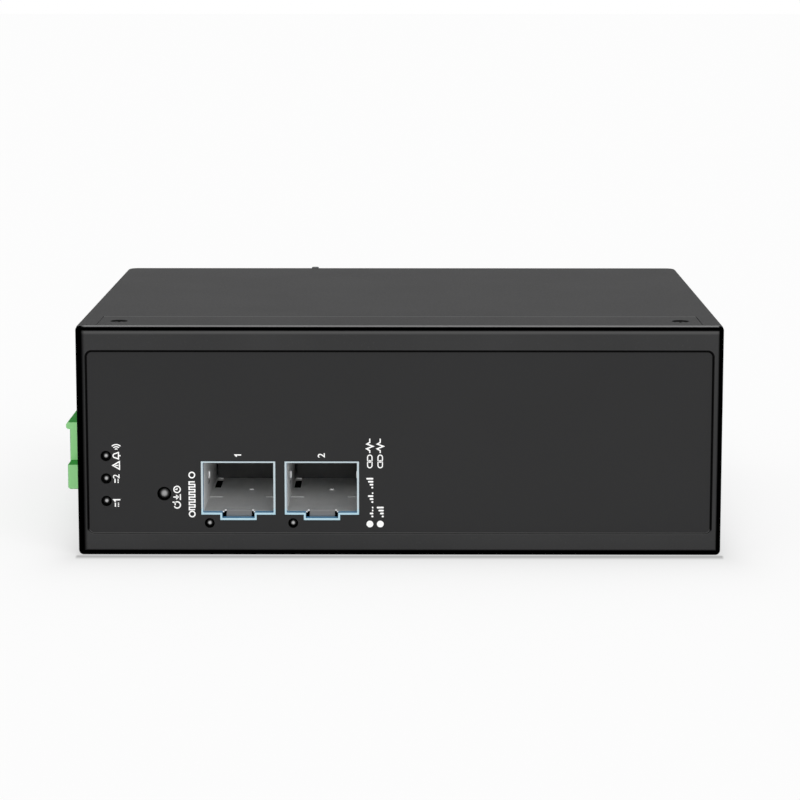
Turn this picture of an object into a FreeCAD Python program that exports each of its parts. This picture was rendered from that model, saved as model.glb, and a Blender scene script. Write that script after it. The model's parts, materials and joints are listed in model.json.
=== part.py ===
"""Industrial fibre media converter: two small-form-factor module slots in a folded steel case for a DIN rail.

The case lies on its large side: +X runs along the front to its right end, +Y from the front to the back,
+Z up. The origin is the middle of the case's footprint, on the face that it lies on. All sizes are
millimetres and live in the sheet "Dims"; a rule such as "width / 2 - sheet" names those cells.
"""
import FreeCAD, Part
import os
import re
import Sketcher

Vector = FreeCAD.Vector
Rotation = FreeCAD.Rotation

doc = FreeCAD.newDocument("MediaConverter")
dims = doc.addObject("Spreadsheet::Sheet", "Dims")

WAYS = 6
PORTS = 2

SIZES = {
    # case
    "width": 132.4,
    "depth": 110.0,
    "height": 47.7,
    "sheet": 1.2,
    "gap": 0.1,
    "rear_round": 2.5,
    "base_break": 0.7,
    "cover_round": 0.8,
    # front panel, with a tongue folded back over the large sides
    "front_wall": 2.0,
    "corner_round": 1.0,
    "front_round": 0.9,
    "tongue_width": 124.0,
    "tongue_depth": 16.0,
    "lip_width": 122.0,
    "lip_front": 5.0,
    "lip_rear": 19.0,
    "return_low": 6.0,
    "return_high": 41.5,
    "return_depth": 10.0,
    # label recess and the label film in it
    "recess_width": 128.2,
    "recess_low": 4.5,
    "recess_high": 42.5,
    "recess_depth": 0.6,
    "recess_round": 1.2,
    "film": 0.25,
    # module slots
    "port_x": -33.15,
    "port_pitch": 17.2,
    "port_width": 15.3,
    "port_low": 8.5,
    "port_high": 19.4,
    "notch_width": 7.5,
    "notch_low": 7.36,
    "collar_wall": 0.42,
    "collar_proud": 0.25,
    # module cages, in each cage's own frame
    "cage_set_back": 2.1,
    "cage_width": 15.06,
    "cage_height": 10.66,
    "cage_length": 48.8,
    "cage_sheet": 0.3,
    "latch_width": 5.2,
    "latch_slit": 0.45,
    "latch_length": 1.6,
    "latch_dip": 1.0,
    "connector_front": 38.0,
    "connector_width": 11.6,
    "connector_high": 5.9,
    # circuit board
    "board_half": 62.5,
    "board_front": -46.0,
    "board_rear": 50.0,
    "board_low": 6.9,
    "board_thick": 1.6,
    "post_x": 57.0,
    "post_front": -31.5,
    "post_rear": 44.0,
    # indicators and reset button
    "lens_back": 0.7,
    "led_x": -60.3,
    "led_low": 11.3,
    "led_pitch": 4.7,
    "led_hole": 1.1,
    "led_lens": 0.8,
    "link_shift": -5.95,
    "link_up": 6.7,
    "link_hole": 1.03,
    "link_lens": 0.75,
    "reset_x": -48.4,
    "reset_up": 12.85,
    "reset_hole": 1.45,
    "plunger": 1.2,
    "reset_travel": 0.3,
    # pluggable terminal block on the left-hand narrow side
    "way_start": -20.2,
    "way_pitch": 5.08,
    "ear": 4.8,
    "ear_high": 13.6,
    "plug_low": 8.2,
    "plug_high": 22.3,
    "plug_out": -71.85,
    "plug_lip": -72.7,
    "lip_tall": 1.5,
    "plug_shoulder": -60.2,
    "tongue_end": -52.7,
    "tongue_low": 9.6,
    "tongue_high": 16.2,
    "clamp_x": -68.4,
    "clamp_low": 9.5,
    "clamp_high": 17.2,
    "clamp_size": 3.9,
    "clamp_wall": 0.6,
    "clamp_rise": 2.0,
    "entry_half": 1.75,
    "groove": 0.5,
    "bar_low": 14.2,
    "bar_thick": 0.8,
    "header_mouth": -60.1,
    "header_rear": -49.0,
    "header_high": 17.2,
    "pin": 1.0,
    "pin_up": 13.3,
    "pin_tip": -59.0,
    "pin_leg": -50.6,
    # fixings
    "head": 1.85,
    "shank": 1.0,
    "head_tall": 0.85,
    "head_sunk": 0.3,
    "front_screw_x": 58.0,
    "front_screw_back": 8.0,
    "ground_y": 38.0,
    "ground_up": 14.0,
    # rail clip on the back
    "clip_sheet": 1.5,
    "clip_left": -27.0,
    "clip_right": 22.0,
    "clip_low": 5.0,
    "clip_high": 42.4,
    "rail_top": -20.0,
    "rail_bottom": 15.2,
    "wire": 0.85,
    "wire_x": -21.0,
    "wire_off": 2.5,
    "wire_travel": 1.5,
    "wire_end": 0.1,
    "wire_proud": 0.4,
}

for row, (alias, value) in enumerate(SIZES.items(), start=1):
    dims.set("A%d" % row, alias)
    dims.set("B%d" % row, str(value))
    dims.setAlias("B%d" % row, alias)
doc.recompute()

finished = {}


def rule(text):
    """Turn the names in a rule into references to the sheet's cells."""
    return re.sub(r"[a-z][a-z_]+", lambda word: "Dims." + word.group(), text)


def number(text):
    """The value that a rule has now."""
    return float(dims.evalExpression(rule(text)))


def place(item, at):
    """Bind an object's position to three rules."""
    for axis, text in zip("xyz", at):
        item.setExpression("Placement.Base." + axis, rule(text))


def keep(item, name):
    """Give a finished sub-part its label, under which it is exported."""
    item.Label = name
    finished[name] = item
    return item


# ---------------------------------------------------------------- sketch-based bodies

def new_body(name, at=("0", "0", "0")):
    body = doc.addObject("PartDesign::Body", name)
    place(body, at)
    return keep(body, name)


def sketch_on(body, role, offset="0"):
    """A sketch on one of the body's own planes, moved along the plane's normal: +Z, -Y or +X."""
    drawing = body.newObject("Sketcher::SketchObject", body.Name + "_sketch")
    plane = [feature for feature in body.Origin.OriginFeatures if feature.Role == role][0]
    drawing.AttachmentSupport = (plane, [""])
    drawing.MapMode = "FlatFace"
    drawing.setExpression("AttachmentOffset.Base.z", rule(offset))
    return drawing


def hold(drawing, kind, element, point, text):
    """Bind one coordinate of a point in a sketch to a rule."""
    constraint = Sketcher.Constraint(kind, -1, 1, element, point, number(text))
    index = drawing.addConstraint(constraint)
    drawing.setExpression("Constraints[%d]" % index, rule(text))


def loop(drawing, corners):
    """A closed outline with straight sides through corners given as pairs of rules."""
    first = drawing.GeometryCount
    count = len(corners)
    spots = [Vector(number(u), number(v), 0) for u, v in corners]
    for i in range(count):
        drawing.addGeometry(Part.LineSegment(spots[i], spots[(i + 1) % count]))
    for i in range(count):
        following = first + (i + 1) % count
        drawing.addConstraint(Sketcher.Constraint("Coincident", first + i, 2, following, 1))
        hold(drawing, "DistanceX", first + i, 1, corners[i][0])
        hold(drawing, "DistanceY", first + i, 1, corners[i][1])


def rectangle(drawing, across, up):
    loop(drawing, [(across[0], up[0]), (across[1], up[0]), (across[1], up[1]), (across[0], up[1])])


def ring(drawing, across, up, radius):
    """A circle whose centre and radius follow rules."""
    spot = Vector(number(across), number(up), 0)
    element = drawing.addGeometry(Part.Circle(spot, Vector(0, 0, 1), number(radius)))
    hold(drawing, "DistanceX", element, 3, across)
    hold(drawing, "DistanceY", element, 3, up)
    index = drawing.addConstraint(Sketcher.Constraint("Radius", element, number(radius)))
    drawing.setExpression("Constraints[%d]" % index, rule(radius))


def octagon(drawing, across, up, radius):
    """A clearance hole that nobody sees: eight flats, each at the radius from the centre."""
    far, low = "(%s)" % radius, "(%s) * 0.4142" % radius
    corners = []
    for quarter, (u, v) in enumerate(("++", "-+", "--", "+-")):
        pair = [(far, low), (low, far)]
        if quarter % 2:
            pair.reverse()
        corners += [("%s %s %s" % (across, u, a), "%s %s %s" % (up, v, b)) for a, b in pair]
    loop(drawing, corners)


def grow(body, drawing, length, flip=False):
    """Pad a sketch along its plane's normal, or against it."""
    pad = body.newObject("PartDesign::Pad", body.Name + "_pad")
    pad.Profile = drawing
    pad.setExpression("Length", rule(length))
    pad.Reversed = flip
    doc.recompute()
    return pad


def carve(body, drawing, length, flip=False):
    """Pocket a sketch against its plane's normal, or along it, and make sure that it cuts."""
    before = body.Tip.Shape.Volume
    pocket = body.newObject("PartDesign::Pocket", body.Name + "_pocket")
    pocket.Profile = drawing
    pocket.setExpression("Length", rule(length))
    pocket.Reversed = flip
    doc.recompute()
    if pocket.Shape.Volume > before - 0.001:
        raise RuntimeError("%s cuts nothing" % pocket.Name)
    return pocket


def dress(body, kind, amount, chosen):
    """Round or chamfer the edges of the body that a test picks."""
    doc.recompute()
    base = body.Tip
    names = ["Edge%d" % (n + 1) for n, edge in enumerate(base.Shape.Edges) if chosen(edge.BoundBox)]
    feature = body.newObject("PartDesign::" + kind, body.Name + "_" + kind.lower())
    feature.Base = (base, names)
    feature.setExpression("Radius" if kind == "Fillet" else "Size", rule(amount))
    doc.recompute()
    return feature


def near(value, target):
    return abs(value - target) < 0.001


def along_x(box):
    return box.YLength < 0.001 and box.ZLength < 0.001


def along_y(box):
    return box.XLength < 0.001 and box.ZLength < 0.001


def along_z(box):
    return box.XLength < 0.001 and box.YLength < 0.001


# ---------------------------------------------------------------- primitives and booleans

AXES = {"x": Vector(1, 0, 0), "-x": Vector(-1, 0, 0), "y": Vector(0, 1, 0), "-y": Vector(0, -1, 0),
        "z": Vector(0, 0, 1), "-z": Vector(0, 0, -1)}


def turn(item, axis):
    item.Placement = FreeCAD.Placement(Vector(), Rotation(Vector(0, 0, 1), AXES[axis]))


def block(name, across, back, up):
    """A box between two rules on each axis."""
    item = doc.addObject("Part::Box", name)
    for side, (low, high) in zip(("Length", "Width", "Height"), (across, back, up)):
        item.setExpression(side, rule("(%s) - (%s)" % (high, low)))
    place(item, (across[0], back[0], up[0]))
    return item


def rod(name, at, axis, radius, length):
    item = doc.addObject("Part::Cylinder", name)
    item.setExpression("Radius", rule(radius))
    item.setExpression("Height", rule(length))
    turn(item, axis)
    place(item, at)
    return item


def facet_rod(name, at, axis, radius, length, sides=12):
    """A prism: a hexagon, or a hidden shank or hole that needs no truly round wall."""
    item = doc.addObject("Part::Prism", name)
    item.Polygon = sides
    item.setExpression("Circumradius", rule(radius))
    item.setExpression("Height", rule(length))
    turn(item, axis)
    place(item, at)
    return item


def taper(name, at, axis, first, second, length):
    """A cone from one radius at its foot to another at its top."""
    item = doc.addObject("Part::Cone", name)
    item.setExpression("Radius1", rule(first))
    item.setExpression("Radius2", rule(second))
    item.setExpression("Height", rule(length))
    turn(item, axis)
    place(item, at)
    return item


def joined(name, pieces):
    item = doc.addObject("Part::MultiFuse", name)
    item.Shapes = pieces
    return item


def less(name, base, tools):
    """A solid with one or more tools cut from it."""
    item = doc.addObject("Part::Cut", name)
    item.Base = base
    item.Tool = tools[0] if len(tools) == 1 else joined(name + "_tools", tools)
    return item


def group(name, pieces):
    """Identical loose pieces that share one node."""
    item = doc.addObject("Part::Compound", name)
    item.Links = pieces
    return keep(item, name)


def shifted(at, axis, length):
    """Rules for a point moved along an axis by a length."""
    direction = AXES[axis]
    return tuple("%s + (%s) * (%d)" % (text, length, part)
                 for text, part in zip(at, (direction.x, direction.y, direction.z)))


def flat_screw(name, spot, axis, length, sunk="0"):
    """A countersunk cross-recess screw, sunk below a surface at a point; its shank runs along an axis."""
    at = shifted(spot, axis, sunk)
    head = taper(name + "_head", at, axis, "head - " + sunk, "shank", "head_tall - " + sunk)
    shank = facet_rod(name + "_shank", shifted(spot, axis, "head_tall"), axis, "shank", length)
    blades = []
    sides = [part for part in "xyz" if part != axis[-1]]
    for index, wide in enumerate(sides):
        spans = {}
        for part, text in zip("xyz", at):
            half = "0.55"
            if part in sides:
                half = "1.05" if part == wide else "0.2"
            spans[part] = ("%s - %s" % (text, half), "%s + %s" % (text, half))
        blades.append(block("%s_slot_%d" % (name, index), spans["x"], spans["y"], spans["z"]))
    return less(name, joined(name + "_blank", [head, shank]), blades)


# ---------------------------------------------------------------- case

def port_corners(shift, inset):
    """The outline of a module slot with its latch notch, in the front view, inset by a wall."""
    left = "%s - port_width / 2 + %s" % (shift, inset)
    right = "%s + port_width / 2 - %s" % (shift, inset)
    notch_left = "%s - notch_width / 2 + %s" % (shift, inset)
    notch_right = "%s + notch_width / 2 - %s" % (shift, inset)
    low = "port_low + " + inset
    high = "port_high - " + inset
    notch = "notch_low + " + inset
    return [(left, low), (notch_left, low), (notch_left, notch), (notch_right, notch),
            (notch_right, low), (right, low), (right, high), (left, high)]


def port_shift(port):
    return "port_x + port_pitch * %d" % port


def front_openings(drawing, hole, spare):
    """What both the panel and its film leave open: two slots, two link lamps and the reset button."""
    for port in range(PORTS):
        loop(drawing, port_corners(port_shift(port), "-(%s)" % spare))
        hole(drawing, port_shift(port) + " + link_shift", "link_up", "link_hole + %s - 0.05" % spare)
    hole(drawing, "reset_x", "reset_up", "reset_hole + %s - 0.05" % spare)


def make_front_panel():
    body = new_body("front_panel")
    face = sketch_on(body, "XZ_Plane", "depth / 2 - front_wall")
    rectangle(face, ("-width / 2", "width / 2"), ("0", "height"))
    grow(body, face, "front_wall")
    dress(body, "Fillet", "corner_round", along_y)
    front = number("-depth / 2")
    dress(body, "Fillet", "front_round", lambda box: near(box.YMin, front) and near(box.YMax, front))

    tongues = sketch_on(body, "XZ_Plane", "depth / 2 - front_wall")
    for low, high in (("0", "sheet"), ("height - sheet", "height")):
        rectangle(tongues, ("-tongue_width / 2 + gap", "tongue_width / 2 - gap"), (low, high))
    grow(body, tongues, "tongue_depth - front_wall", flip=True)
    returns = sketch_on(body, "XZ_Plane", "depth / 2 - front_wall")
    outer = "(width / 2 - sheet - gap)"
    inner = "(width / 2 - sheet * 2 - gap)"
    rectangle(returns, ("-" + outer, "-" + inner), ("return_low", "return_high"))
    rectangle(returns, (inner, outer), ("return_low", "return_high"))
    grow(body, returns, "return_depth", flip=True)

    recess = sketch_on(body, "XZ_Plane", "depth / 2")
    rectangle(recess, ("-recess_width / 2", "recess_width / 2"), ("recess_low", "recess_high"))
    carve(body, recess, "recess_depth")
    corner = number("recess_width / 2")
    dress(body, "Fillet", "recess_round", lambda box: along_y(box) and near(abs(box.XMin), corner))
    openings = sketch_on(body, "XZ_Plane", "depth / 2")
    front_openings(openings, octagon, "0")
    rectangle(openings, ("led_x - led_hole - 0.3", "led_x + led_hole + 0.3"),
              ("led_low - led_hole - 0.3", "led_low + led_pitch * 2 + led_hole + 0.3"))
    carve(body, openings, "front_wall + 1")

    carve(body, lip_holes(body, ring, "height"), "sheet")
    top = number("height")
    width = number("(shank + 0.05) * 2")
    dress(body, "Chamfer", "head - shank", lambda box: near(box.XLength, width) and near(box.ZMin, top))


def make_front_label():
    body = new_body("front_label")
    film = sketch_on(body, "XZ_Plane", "depth / 2 - recess_depth")
    side = "(recess_width / 2 - gap)"
    rectangle(film, ("-" + side, side), ("recess_low + gap", "recess_high - gap"))
    front_openings(film, ring, "0.05")
    for level in range(3):
        ring(film, "led_x", "led_low + led_pitch * %d" % level, "led_hole")
    grow(body, film, "film")
    corner = number(side)
    dress(body, "Fillet", "recess_round - gap", lambda box: along_y(box) and near(abs(box.XMin), corner))


def case_outline(body, offset):
    """The case's footprint behind the front panel."""
    drawing = sketch_on(body, "XY_Plane", offset)
    rectangle(drawing, ("-width / 2", "width / 2"), ("front_wall - depth / 2", "depth / 2"))
    return drawing


def tongue_notch(body, offset):
    drawing = sketch_on(body, "XY_Plane", offset)
    rectangle(drawing, ("-tongue_width / 2", "tongue_width / 2"), ("-depth / 2", "tongue_depth - depth / 2"))
    return drawing


def screw_lip(body, offset):
    """The joggled lip behind a tongue: welded to the lower one, screwed to the upper one."""
    drawing = sketch_on(body, "XY_Plane", offset)
    rectangle(drawing, ("-lip_width / 2", "lip_width / 2"), ("lip_front - depth / 2", "lip_rear - depth / 2"))
    return drawing


def lip_holes(body, hole, offset):
    drawing = sketch_on(body, "XY_Plane", offset)
    for side in ("-", ""):
        hole(drawing, side + "front_screw_x", "front_screw_back - depth / 2", "shank + 0.05")
    return drawing


CLIP_SCREWS = (("-12", "height / 2"), ("8", "height / 2"))


def make_chassis():
    body = new_body("chassis")
    grow(body, case_outline(body, "0"), "height - sheet")
    rear = number("depth / 2")
    dress(body, "Fillet", "rear_round", lambda box: along_z(box) and near(box.YMin, rear))
    hollow = sketch_on(body, "XY_Plane", "height - sheet")
    side = "(width / 2 - sheet)"
    rectangle(hollow, ("-" + side, side), ("-depth / 2", "depth / 2 - sheet"))
    carve(body, hollow, "height - sheet * 2")
    inside = number("depth / 2 - sheet")
    dress(body, "Fillet", "rear_round - sheet", lambda box: along_z(box) and near(box.YMin, inside))
    front = number("front_wall - depth / 2")
    dress(body, "Chamfer", "base_break",
          lambda box: near(box.ZMax, 0) and not (near(box.YMin, front) and near(box.YMax, front)))
    carve(body, tongue_notch(body, "sheet"), "sheet")
    grow(body, screw_lip(body, "sheet"), "sheet")

    window = sketch_on(body, "YZ_Plane", "sheet - width / 2 + 1")
    rectangle(window, ("way_start - ear - 0.4", "way_start + way_pitch * %d + ear + 0.4" % WAYS),
              ("plug_low - 0.4", "plug_high + 0.4"))
    carve(body, window, "sheet + 2")
    ground = sketch_on(body, "YZ_Plane", "sheet - width / 2 + 1")
    octagon(ground, "ground_y", "ground_up", "2.05")
    carve(body, ground, "sheet + 2")
    rear_holes = sketch_on(body, "XZ_Plane", "-depth / 2")
    for across, up in CLIP_SCREWS:
        octagon(rear_holes, across, up, "shank + 0.05")
    carve(body, rear_holes, "sheet", True)


def make_cover():
    body = new_body("cover")
    grow(body, case_outline(body, "height - sheet"), "sheet")
    rear = number("depth / 2")
    top = number("height")
    front = number("front_wall - depth / 2")
    dress(body, "Fillet", "rear_round", lambda box: along_z(box) and near(box.YMin, rear))
    dress(body, "Fillet", "cover_round",
          lambda box: near(box.ZMin, top) and not (near(box.YMin, front) and near(box.YMax, front)))
    carve(body, tongue_notch(body, "height"), "sheet")
    grow(body, screw_lip(body, "height - sheet"), "sheet", flip=True)
    carve(body, lip_holes(body, octagon, "height - sheet"), "sheet")

    skirts = sketch_on(body, "XY_Plane", "height - sheet")
    outer = "(width / 2 - sheet - gap)"
    inner = "(width / 2 - sheet * 2 - gap)"
    rectangle(skirts, ("-" + outer, "-" + inner), ("-36", "48"))
    rectangle(skirts, (inner, outer), ("-36", "48"))
    rectangle(skirts, ("-54", "54"), ("depth / 2 - sheet * 2 - gap", "depth / 2 - sheet - gap"))
    grow(body, skirts, "6", flip=True)


def make_cover_screws():
    at = ("front_screw_back - depth / 2", "height")
    screws = [flat_screw("cover_screw_%d" % n, (side + "front_screw_x",) + at, "-z", "2.4", "head_sunk")
              for n, side in enumerate(("-", ""))]
    group("cover_screws", screws)


# ---------------------------------------------------------------- module slots

def make_slot(port):
    collar = new_body("port_collar_%d" % (port + 1), (port_shift(port), "0", "0"))
    frame = sketch_on(collar, "XZ_Plane", "depth / 2 - front_wall")
    loop(frame, port_corners("0", "0"))
    loop(frame, port_corners("0", "collar_wall"))
    grow(collar, frame, "front_wall - recess_depth + film + collar_proud")

    spot = (port_shift(port), "cage_set_back - depth / 2", "port_low + collar_wall - cage_sheet")
    cage = new_body("module_cage_%d" % (port + 1), spot)
    tube = sketch_on(cage, "XZ_Plane")
    rectangle(tube, ("-cage_width / 2", "cage_width / 2"), ("0", "cage_height"))
    grow(cage, tube, "cage_length", flip=True)
    inside = sketch_on(cage, "XZ_Plane")
    side = "(cage_width / 2 - cage_sheet)"
    rectangle(inside, ("-" + side, side), ("cage_sheet", "cage_height - cage_sheet"))
    carve(cage, inside, "cage_length - cage_sheet")

    floor = sketch_on(cage, "XY_Plane", "cage_sheet + 0.5")
    rectangle(floor, ("-6.3", "6.3"), ("connector_front - 0.6", "cage_length - 0.8"))
    half = "(latch_width / 2 + latch_slit)"
    rectangle(floor, ("-" + half, half), ("-1", "latch_length"))
    rectangle(floor, ("-6.9", "-5.5"), ("26", "35.7"))
    carve(cage, floor, "cage_sheet + 1")
    latch = sketch_on(cage, "YZ_Plane", "-latch_width / 2")
    loop(latch, [("latch_length", "0"), ("latch_length + 0.5", "0"), ("latch_length + 0.5", "cage_sheet"),
                 ("latch_length", "cage_sheet"), ("0.5", "cage_sheet - latch_dip"),
                 ("0", "cage_sheet - latch_dip"), ("0", "-latch_dip"), ("0.5", "-latch_dip")])
    grow(cage, latch, "latch_width")
    feet = sketch_on(cage, "XY_Plane", "0")
    for step in range(5):
        for sign in ("-", ""):
            edges = [sign + "cage_width / 2", sign + side]
            across = tuple(edges if sign == "-" else edges[::-1])
            rectangle(feet, across, ("%d" % (12 + 8 * step), "%d" % (13 + 8 * step)))
    grow(cage, feet, "port_low + collar_wall - cage_sheet - board_low - board_thick", flip=True)

    name = "module_connector_%d" % (port + 1)
    rise = "board_low + board_thick"
    front = "cage_set_back - depth / 2 + connector_front"
    shift = port_shift(port)
    housing = block(name + "_housing", (shift + " - connector_width / 2", shift + " + connector_width / 2"),
                    (front, front + " + 9.5"), (rise, rise + " + connector_high + 0.3"))
    mouth = block(name + "_mouth", (shift + " - 4.8", shift + " + 4.8"),
                  (front + " - 1", front + " + 6"), (rise + " + 2.6", rise + " + 4.1"))
    keep(less(name, housing, [mouth]), name)


# ---------------------------------------------------------------- board and what stands on it

TOP = "board_low + board_thick"


def on_board(name, across, back, tall):
    """A plain component that stands on the board."""
    return keep(block(name, across, back, (TOP, "%s + %s" % (TOP, tall))), name)


def make_board():
    plate = block("board_blank", ("-board_half", "board_half"), ("board_front", "board_rear"),
                  ("board_low", TOP))
    holes = [block("board_notch", ("-board_half - 1", "header_mouth + gap"),
                   ("way_start - ear - 1", "way_start + way_pitch * %d + ear + 1" % WAYS),
                   ("board_low - 1", TOP + " + 1"))]
    for side in ("-", ""):
        for end in ("post_front", "post_rear"):
            name = "board_hole_%d" % len(holes)
            at = (side + "post_x", end, "board_low - 1")
            holes.append(facet_rod(name, at, "z", "1.6", "board_thick + 2", 8))
    for way in range(WAYS):
        across = ("pin_leg - pin / 2 - 0.1", "pin_leg + pin / 2 + 0.1")
        back = (way_centre(way) + " - pin / 2 - 0.1", way_centre(way) + " + pin / 2 + 0.1")
        holes.append(block("pin_hole_%d" % way, across, back, ("board_low - 1", TOP + " + 1")))
    keep(less("main_board", plate, holes), "main_board")


def make_posts():
    posts = []
    screws = []
    for side in ("-", ""):
        for end in ("post_front", "post_rear"):
            index = len(posts)
            at = (side + "post_x", end, "sheet")
            shaft = facet_rod("post_shaft_%d" % index, at, "z", "3.1", "board_low - sheet", 6)
            bore = facet_rod("post_bore_%d" % index, (at[0], at[1], "sheet + 0.8"), "z", "1.4", "board_low", 8)
            posts.append(less("post_%d" % index, shaft, [bore]))
            head = facet_rod("board_screw_head_%d" % index, (at[0], at[1], TOP), "z", "2.6", "1.8", 8)
            shank = facet_rod("board_screw_shank_%d" % index, (at[0], at[1], "sheet + 1.8"), "z", "1.25",
                              "board_low + board_thick - sheet - 1.8", 8)
            slot = block("board_screw_slot_%d" % index, (at[0] + " - 1.8", at[0] + " + 1.8"),
                         (at[1] + " - 0.3", at[1] + " + 0.3"), (TOP + " + 1", TOP + " + 2"))
            screws.append(less("board_screw_%d" % index,
                               joined("board_screw_blank_%d" % index, [head, shank]), [slot]))
    group("board_posts", posts)
    group("board_screws", screws)


def make_indicators():
    low = "led_low + led_pitch * 2 + 2.1"
    stack = block("led_holder", ("led_x - 1.6", "led_x + 1.6"), ("board_front - 4", "board_front + 4"),
                  (TOP, low))
    keep(stack, "led_holder")
    for level in range(3):
        up = "led_low + led_pitch * %d" % level
        lens = rod("led_rod_%d" % level, ("led_x", "board_front - 4", up), "-y", "led_lens",
                   "depth / 2 + board_front - 4 - lens_back")
        name = ("power_led_1", "power_led_2", "alarm_led")[level]
        keep(lens, name)

    chips = []
    for port in range(PORTS):
        shift = port_shift(port) + " + link_shift"
        pipe = facet_rod("link_rod_%d" % port, (shift, "board_front - 0.2", "link_up"), "-y", "link_lens",
                         "depth / 2 + board_front - 0.2 - front_wall")
        lens = rod("link_lens_%d" % port, (shift, "front_wall - depth / 2", "link_up"), "-y", "link_lens",
                   "front_wall - lens_back")
        flange = facet_rod("link_flange_%d" % port, (shift, "front_wall - depth / 2 + 0.6", "link_up"), "-y",
                           "1.3", "0.6")
        name = "link_light_pipe_%d" % (port + 1)
        keep(joined(name, [pipe, flange, lens]), name)
        chips.append(block("link_led_%d" % port, (shift + " - 0.8", shift + " + 0.8"),
                           ("board_front", "board_front + 1.4"), ("board_low - 0.9", "board_low")))
    group("link_leds", chips)


def make_reset():
    front = "board_front - 2"
    housing = block("reset_housing", ("reset_x - 3", "reset_x + 3"), (front, "board_front + 2.5"),
                    (TOP, "reset_up + 3"))
    bore = facet_rod("reset_bore", ("reset_x", front + " - 1", "reset_up"), "y", "plunger + 0.1",
                     "1 + 2.5 + reset_travel")
    keep(less("reset_switch", housing, [bore]), "reset_switch")
    shaft = rod("reset_shaft", ("reset_x", front + " + 2.5", "reset_up"), "-y", "plunger",
                "depth / 2 + board_front + 0.5 - lens_back")
    keep(shaft, "reset_plunger")


def make_heat_sink():
    on_board("line_chip", ("-31", "-18"), ("8", "21"), "1.4")
    sink = new_body("heat_sink")
    base = sketch_on(sink, "XY_Plane", TOP + " + 1.9")
    rectangle(base, ("-38", "-11"), ("0", "29"))
    grow(sink, base, "2")
    fin = sketch_on(sink, "XY_Plane", TOP + " + 3.9")
    rectangle(fin, ("-38", "-37"), ("0", "29"))
    fin_pad = grow(sink, fin, "9")
    rows = sink.newObject("PartDesign::LinearPattern", "heat_sink_fins")
    rows.Originals = [fin_pad]
    rows.Direction = (fin, ["H_Axis"])
    rows.Length = 26.0
    rows.Occurrences = 9
    sink.Tip = rows
    pad = block("thermal_pad", ("-31", "-18"), ("8", "21"), (TOP + " + 1.4", TOP + " + 1.9"))
    keep(pad, "thermal_pad")


def make_components():
    on_board("switch_chip", ("14", "30"), ("-14", "2"), "1.5")
    on_board("crystal", ("36", "41"), ("-10", "-6.8"), "1.2")
    on_board("alarm_relay", ("-45", "-35"), ("31", "46"), "11")
    on_board("input_fuse", ("-44.5", "-41.5"), ("-20", "-10"), "3.2")
    on_board("power_module", ("28", "53"), ("14", "39"), "8")
    coils = []
    for index, back in enumerate(("20", "34")):
        coils.append(block("coil_%d" % index, ("2", "12"), (back, back + " + 10"), (TOP, TOP + " + 5")))
    group("power_coils", coils)
    cans = []
    for index, across in enumerate(("-26", "-16", "-6")):
        cans.append(facet_rod("can_%d" % index, (across, "41", TOP), "z", "4", "11.5", 16))
    group("bulk_capacitors", cans)


# ---------------------------------------------------------------- terminal block

def way_centre(way):
    return "way_start + way_pitch * %.1f" % (way + 0.5)


def make_plug():
    body = new_body("terminal_plug")
    profile = sketch_on(body, "XZ_Plane", "-way_start")
    loop(profile, [("plug_out", "plug_low"), ("plug_shoulder", "plug_low"), ("plug_shoulder", "tongue_low"),
                   ("tongue_end", "tongue_low"), ("tongue_end", "tongue_high"),
                   ("plug_shoulder", "tongue_high"), ("plug_shoulder", "plug_high"),
                   ("plug_lip", "plug_high"), ("plug_lip", "plug_high - lip_tall"),
                   ("plug_out", "plug_high - lip_tall")])
    length = "way_pitch * %d" % WAYS
    grow(body, profile, length, flip=True)
    ears = sketch_on(body, "XZ_Plane", "ear - way_start")
    rectangle(ears, ("plug_out", "plug_shoulder"), ("plug_low", "ear_high"))
    grow(body, ears, length + " + ear * 2", flip=True)
    low = number("plug_low")
    outer = number("plug_out")
    lip = number("plug_lip")
    dress(body, "Chamfer", "0.4", lambda box: along_y(box) and (near(box.XMin, lip)
          or near(box.XMin, outer) and near(box.ZMin, low)))

    for way in range(WAYS):
        across = way_centre(way)
        top = sketch_on(body, "XY_Plane", "plug_high")
        ring(top, "clamp_x", across, "1.7")
        carve(body, top, "2.1")
        neck = sketch_on(body, "XY_Plane", "plug_high - 2.1")
        rectangle(neck, ("clamp_x - 1.35", "clamp_x + 1.35"), (across + " - 1.35", across + " + 1.35"))
        carve(body, neck, "0.8")
        shaft = sketch_on(body, "XY_Plane", "clamp_high + clamp_rise + 0.2")
        half = "(clamp_size / 2 + 0.1)"
        rectangle(shaft, ("clamp_x - " + half, "clamp_x + " + half), (across + " - " + half, across + " + " + half))
        carve(body, shaft, "clamp_high + clamp_rise + 0.3 - clamp_low")
        entry = sketch_on(body, "YZ_Plane", "clamp_x")
        rectangle(entry, (across + " - entry_half", across + " + entry_half"), ("clamp_low + 0.4", "bar_low - 0.3"))
        carve(body, entry, "clamp_x - plug_out + 1")
        slot = sketch_on(body, "XY_Plane", "bar_low + bar_thick")
        rectangle(slot, ("plug_out + 0.7", "plug_shoulder + 0.4"), (across + " - 1", across + " + 1"))
        carve(body, slot, "bar_thick")
        socket = sketch_on(body, "YZ_Plane", "tongue_end")
        rectangle(socket, (across + " - 1.1", across + " + 1.1"), ("pin_up - 1.7", "pin_up + 1.7"))
        carve(body, socket, "tongue_end - plug_shoulder - 0.3")
    for way in range(1, WAYS):
        seam = "way_start + way_pitch * %d" % way
        groove = sketch_on(body, "XY_Plane", "plug_high")
        loop(groove, [("plug_lip - 1", seam + " - groove"), ("plug_lip", seam + " - groove"),
                      ("plug_lip + groove", seam), ("plug_lip", seam + " + groove"),
                      ("plug_lip - 1", seam + " + groove")])
        carve(body, groove, "lip_tall")


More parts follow.
